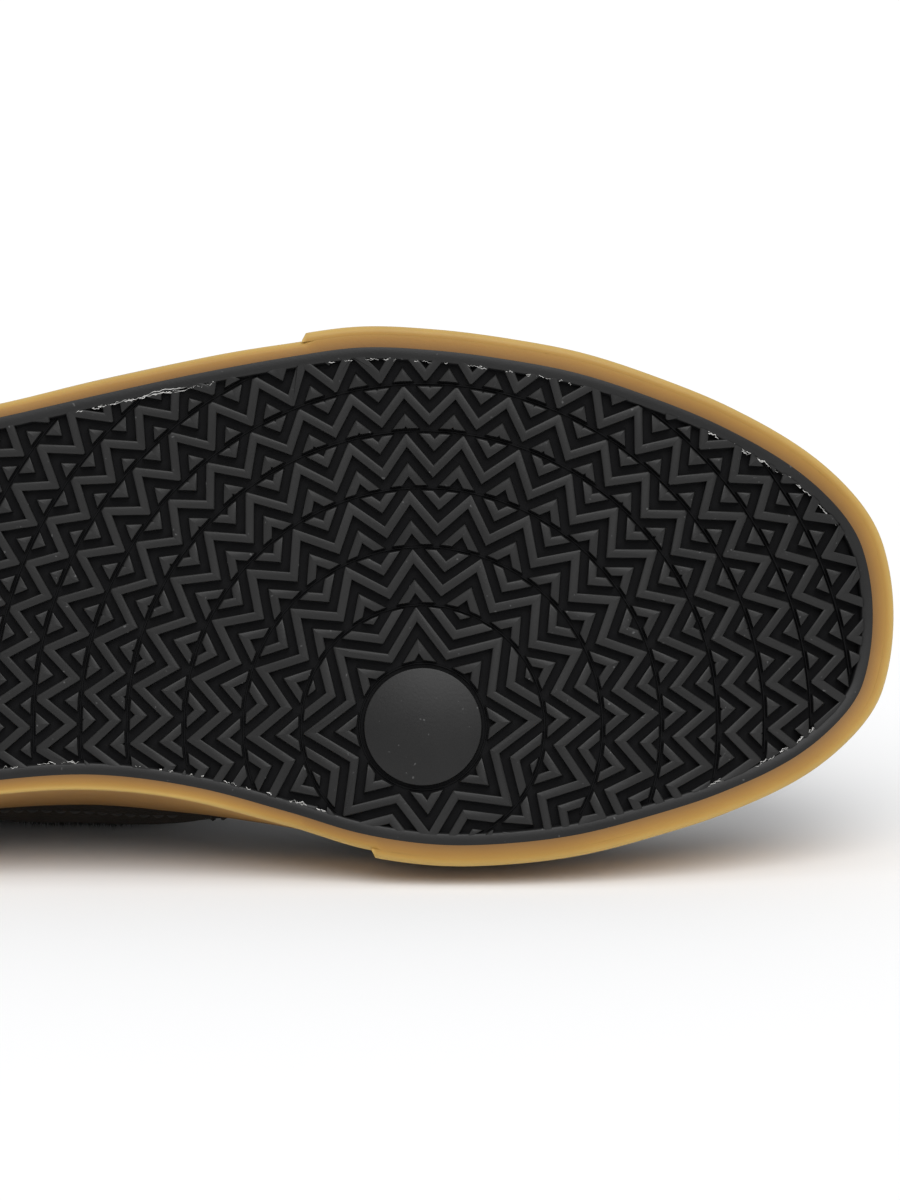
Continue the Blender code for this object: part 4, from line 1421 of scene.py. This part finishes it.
def tongue_section(share, drop):
    """Even points across the tongue, from its inner edge under the eyestay to its outer edge."""
    top_share = THROAT_LINE[1][0]
    down = float(smooth_step(top_share, QUARTER_SEAM, share))
    flap = TONGUE_TOP_FLAP + (TONGUE_FLAP - TONGUE_TOP_FLAP) * down
    rises = 1.0 - flap * (1.0 - np.arange(7) / 6)
    halves = []
    for side in (1, -1):
        turn = around(side, share)
        halves.append(last_points(turn, rises) - last_normals(turn, rises) * drop)
    inner, outer = halves[0][-1], halves[1][-1]
    t = np.linspace(0.0, 1.0, 13)[1:-1, None]
    crown = TONGUE_CROWN * np.sin(np.pi * t) * min(3.0 * np.linalg.norm(inner - outer) / BALL_WIDTH, 1.0)
    middle = inner * (1 - t) + outer * t + crown * UP
    return resampled(np.concatenate([halves[0], middle, halves[1][::-1]]), TONGUE_POINTS)


def free_section(top, below, rise, width):
    """Row of the tongue above the eyestays: the last section carried on upwards."""
    centre = TONGUE_POINTS // 2
    lean = unit(unit(top[centre] - below[centre]) + np.array((0.0, 0.0, TONGUE_STAND)))
    spread = top - top[centre]
    ends = np.where(np.arange(TONGUE_POINTS) < centre, spread[0, 1], spread[-1, 1])
    corner = TONGUE_CORNER * np.maximum((spread[:, 1] / ends - 0.4) / 0.6, 0.0) ** 2
    spot = top[centre] + spread * np.array((1.0, width, 1.0 - 0.4 * rise))
    return spot + lean * (TONGUE_RISE * rise * (1.0 - corner * rise))[:, None]


def make_tongue(suede_material, lining_material):
    """Padded tongue: under the eyestays it follows the last, above them it stands free."""
    top_share = THROAT_LINE[1][0]
    upper_part, toe_part = np.linspace(top_share + 0.006, 0.62, 34), np.linspace(0.65, 0.985, 14)
    shares = np.concatenate([[top_share], upper_part, toe_part])
    sections = [tongue_section(share, 2 * GAP) for share in shares]
    rises = np.linspace(1.0, 0.04, 26)
    widths = blend(((0.0, 1.0),) + TONGUE_FREE, rises, 1)
    free = [free_section(sections[0], sections[3], rise, width) for rise, width in zip(rises, widths)]
    rows = np.array(free + sections)
    count = len(rows)
    across = np.arange(TONGUE_POINTS)
    from_side = np.minimum(across, TONGUE_POINTS - 1 - across) * 4.0 / TONGUE_POINTS
    from_top = np.arange(count) / 6.0
    rim = np.minimum(from_side[None, :], from_top[:, None])
    thickness = TONGUE_THICKNESS * (0.35 + 0.65 * smooth_step(0.0, 1.0, rim))
    normals = unit(np.cross(np.gradient(rows, axis=1), np.gradient(rows, axis=0)))
    if normals[count // 2, TONGUE_POINTS // 2, 2] < 0.0:
        normals = -normals
    puff = 0.0004 * smooth_step(0.2, 1.0, rim) * (np.arange(count) < len(free) + 4)[:, None]
    upper_side = rows + normals * puff[..., None]
    lower_side = rows - normals * thickness[..., None]
    points = list(upper_side.reshape(-1, 3)) + list(lower_side.reshape(-1, 3))
    faces = grid_faces(count, TONGUE_POINTS, False)
    under = count * TONGUE_POINTS
    top_count = len(faces)
    faces += [tuple(under + k for k in face)[::-1] for face in faces]
    border = list(range(TONGUE_POINTS))
    border += [r * TONGUE_POINTS + TONGUE_POINTS - 1 for r in range(1, count)]
    border += [(count - 1) * TONGUE_POINTS + k for k in range(TONGUE_POINTS - 2, -1, -1)]
    border += [r * TONGUE_POINTS for r in range(count - 2, 0, -1)]
    for a, b in zip(border, border[1:] + border[:1]):
        faces.append((a, b, under + b, under + a))
    obj = add_closed("tongue_padded", points, faces, [suede_material, lining_material], smooth=60.0)
    for polygon in obj.data.polygons[top_count : 2 * top_count]:
        polygon.material_index = 1
    return obj, upper_side, normals


def make_tongue_stitches(material, surface, normals):
    """Row of stitches just inside the free edge of the tongue."""
    inset_columns, inset_rows = 3, 4
    path = [(r, inset_columns) for r in range(27, inset_rows, -1)]
    path += [(inset_rows, c) for c in range(inset_columns, TONGUE_POINTS - inset_columns)]
    path += [(r, TONGUE_POINTS - 1 - inset_columns) for r in range(inset_rows + 1, 28)]
    line = np.array([surface[r, c] for r, c in path])
    facing = np.array([normals[r, c] for r, c in path])
    points, faces = [], []
    stitch_row(points, faces, line, facing)
    return add_closed("tongue_stitches", points, faces, [material], smooth=60.0)


# Footbed and lace


def make_insole(material):
    """Cloth-topped footbed, slightly dished and rolled up at its edge."""
    turns = even_turns(COLUMNS_ROUND // 2)
    base = WALL + 2 * GAP
    x = plan_at(turns)[:, 0]
    rings = (
        (0.0, GAP),
        (0.0, INSOLE_THICKNESS * 0.80),
        (0.0006, INSOLE_THICKNESS),
        (0.0018, INSOLE_THICKNESS * 1.02),
        (0.0040, INSOLE_THICKNESS * 0.90),
        (0.0090, INSOLE_THICKNESS * 0.80),
        (0.0160, INSOLE_THICKNESS * 0.76),
    )
    points = []
    for inward, lift in rings:
        points += list(edge_points(turns, np.full(len(turns), -base - inward), sole_thickness(x) + lift))
    faces = capped_grid(len(rings), len(turns))
    return add_closed("insole_footbed", points, faces, [material], smooth=50.0)


def lace_route(row):
    """Centre line of one bar, from inside one lace hole over the tongue into the other."""
    clear = 2 * GAP + LACE_THICKNESS / 2
    halves = []
    for side in (1, -1):
        turn, rise = eyelet_place(side, row)
        hole, normal = last_points(turn, rise), last_normals(turn, rise)
        wall = float(wall_thickness(turn, rise))
        towards = unit(last_points(turn, 1.0) - hole)
        half = [
            (hole - normal * 0.0008, towards),
            (hole + normal * wall * 0.5, towards),
            (hole + normal * (wall + clear * 0.55) + towards * 0.0007, unit(normal - towards * 0.7)),
            (hole + normal * (wall + clear) + towards * 0.0022, normal),
        ]
        for share in (0.6, 1.0):
            level = rise + (1.0 - rise) * share
            out = last_normals(turn, level)
            wall = float(wall_thickness(turn, level))
            half.append((last_points(turn, level) + out * (wall + clear), out))
        halves.append(half)
    inner, outer = halves[0], halves[1][::-1]
    up = unit(inner[-1][1] + outer[0][1])
    middle = (inner[-1][0] + outer[0][0]) / 2 + up * TONGUE_CROWN / 2
    route = inner + [(middle, up)] + outer
    return np.array([spot for spot, _ in route]), np.array([out for _, out in route])


def smooth_line(points, steps):
    """Curve through the points, with several points between each pair."""
    found = []
    last = len(points) - 1
    for k in range(last):
        before, after = points[max(k - 1, 0)], points[min(k + 2, last)]
        a, b = points[k], points[k + 1]
        t = (np.arange(steps) / steps)[:, None]
        found.append(hermite(a, b, (b - before) / 2, (after - a) / 2, t))
    found.append(points[-1:])
    return np.concatenate(found)


def make_lace_bar(row, material):
    """Flat braided bar that gathers where it dives into its lace holes."""
    spots, outs = lace_route(row)
    line, facing = smooth_line(spots, LACE_STEPS), unit(smooth_line(outs, LACE_STEPS))
    lengths = lengths_along(line)
    along = unit(np.gradient(line, axis=0))
    cosines, sines = np.cos(lace_angles()), np.sin(lace_angles())
    wide = np.copysign(np.abs(cosines) ** 0.55, cosines) / 2
    high = np.copysign(np.abs(sines) ** 0.8, sines) / 2
    sections = []
    for k, centre in enumerate(line):
        from_end = min(lengths[k], lengths[-1] - lengths[k])
        spread = float(smooth_step(*LACE_OPENS, from_end))
        width = LACE_NECK + (LACE_WIDTH - LACE_NECK) * spread
        thick = LACE_THICKNESS * (1.35 - 0.35 * spread)
        across = unit(np.cross(along[k], facing[k]))
        out = unit(np.cross(across, along[k]))
        sections.append(centre + np.outer(wide * width, across) + np.outer(high * thick, out))
    obj = add_tube_piece(f"lace_{row + 1}", sections, material, 60.0)
    add_lace_uv(obj, lengths)
    return obj


def lace_angles():
    """Angles of the points round a section of the lace."""
    return math.tau * (np.arange(LACE_SIDES) + 0.5) / LACE_SIDES


def add_lace_uv(obj, lengths):
    """UV with u across the lace and v along it in lace widths."""
    layer = obj.data.uv_layers.new(name="lace")
    across = 0.5 + 0.5 * np.cos(lace_angles())
    for loop in obj.data.loops:
        ring, corner = divmod(loop.vertex_index, LACE_SIDES)
        layer.data[loop.index].uv = (across[corner], lengths[ring] / LACE_WIDTH)


# Studio


def make_studio():
    """Pale floor, soft sky and one wide key light."""
    scene = bpy.context.scene
    scene.view_settings.view_transform = "Standard"
    mesh = bpy.data.meshes.new("floor")
    corners = [(x * FLOOR_REACH, y * FLOOR_REACH, 0.0) for x, y in ((-1, -1), (1, -1), (1, 1), (-1, 1))]
    mesh.from_pydata(corners, [], [(0, 1, 2, 3)])
    mesh.materials.append(floor_material())
    floor = bpy.data.objects.new("floor", mesh)
    scene.collection.objects.link(floor)
    scene.world = sky()
    key = bpy.data.lights.new("key", "SUN")
    key.energy = KEY_POWER
    key.angle = math.radians(KEY_ANGLE)
    obj = bpy.data.objects.new("key", key)
    scene.collection.objects.link(obj)
    obj.matrix_world = Vector(KEY_FROM).to_track_quat("Z", "Y").to_matrix().to_4x4()


def sky():
    """White tent round the set, brightest overhead."""
    world = bpy.data.worlds.new("studio")
    world.use_nodes = True
    tree = world.node_tree
    place = tree.nodes.new("ShaderNodeTexCoord")
    facing = tree.nodes.new("ShaderNodeVectorMath")
    facing.operation = "DOT_PRODUCT"
    facing.inputs[1].default_value = Vector(SKY_FROM).normalized()
    tree.links.new(place.outputs["Generated"], facing.inputs[0])
    background = tree.nodes["Background"]
    background.inputs["Color"].default_value = SKY_COLOUR
    map_range(tree, facing.outputs["Value"], SKY_AT_HORIZON, SKY_OVERHEAD, background.inputs["Strength"])
    return world


def make_camera():
    """Long lens square to the tread, with the photo's frame."""
    data = bpy.data.cameras.new("camera")
    data.sensor_fit = "VERTICAL"
    data.sensor_height = SENSOR_HEIGHT
    data.lens = SENSOR_HEIGHT * VIEW_DISTANCE / VIEW_HEIGHT
    data.clip_end = 50.0
    camera = bpy.data.objects.new("camera", data)
    bpy.context.scene.collection.objects.link(camera)
    turn = POSE.to_3x3() @ Matrix(((1.0, 0.0, 0.0), (0.0, -1.0, 0.0), (0.0, 0.0, -1.0)))
    place = POSE @ Vector((VIEW_CENTRE[0], VIEW_CENTRE[1], -VIEW_DISTANCE))
    camera.matrix_world = Matrix.Translation(place) @ turn.normalized().to_4x4()
    bpy.context.scene.camera = camera


def finish_piece(obj, slot, *nodes):
    """Ties a piece to the part: its body and the solids that it stands for, which it hides. The slot is not
    used.
    """
    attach(obj, "root")
    if nodes:
        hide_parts(*nodes)


def main():
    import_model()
    make_camera()
    make_studio()
    suede_material, lining = suede(), lining_cloth()
    gum, rubber, sewing, lace = gum_rubber(), tread_rubber(), thread(), lace_cloth()

    finish_piece(make_outsole(rubber, groove_rubber()), "black_rubber", "outsole")
    finish_piece(make_flash(flash_painted_highlight()), "black_rubber")
    finish_piece(make_foxing(gum), "gum_rubber", "foxing")
    finish_piece(make_bumper(gum), "gum_rubber", "toe_bumper")
    finish_piece(make_upper(suede_material, lining), "black_suede", "upper")
    finish_piece(make_stitches(sewing), "black_suede")
    finish_piece(make_fibres(sewing), "black_suede")
    tongue, surface, normals = make_tongue(suede_material, lining)
    finish_piece(tongue, "black_suede", "tongue")
    finish_piece(make_tongue_stitches(sewing, surface, normals), "black_suede")
    finish_piece(make_insole(lining), "black_lining", "insole")
    for row in range(EYELET_ROWS):
        finish_piece(make_lace_bar(row, lace), "black_lace", f"lace_bar_{row + 1}")


main()
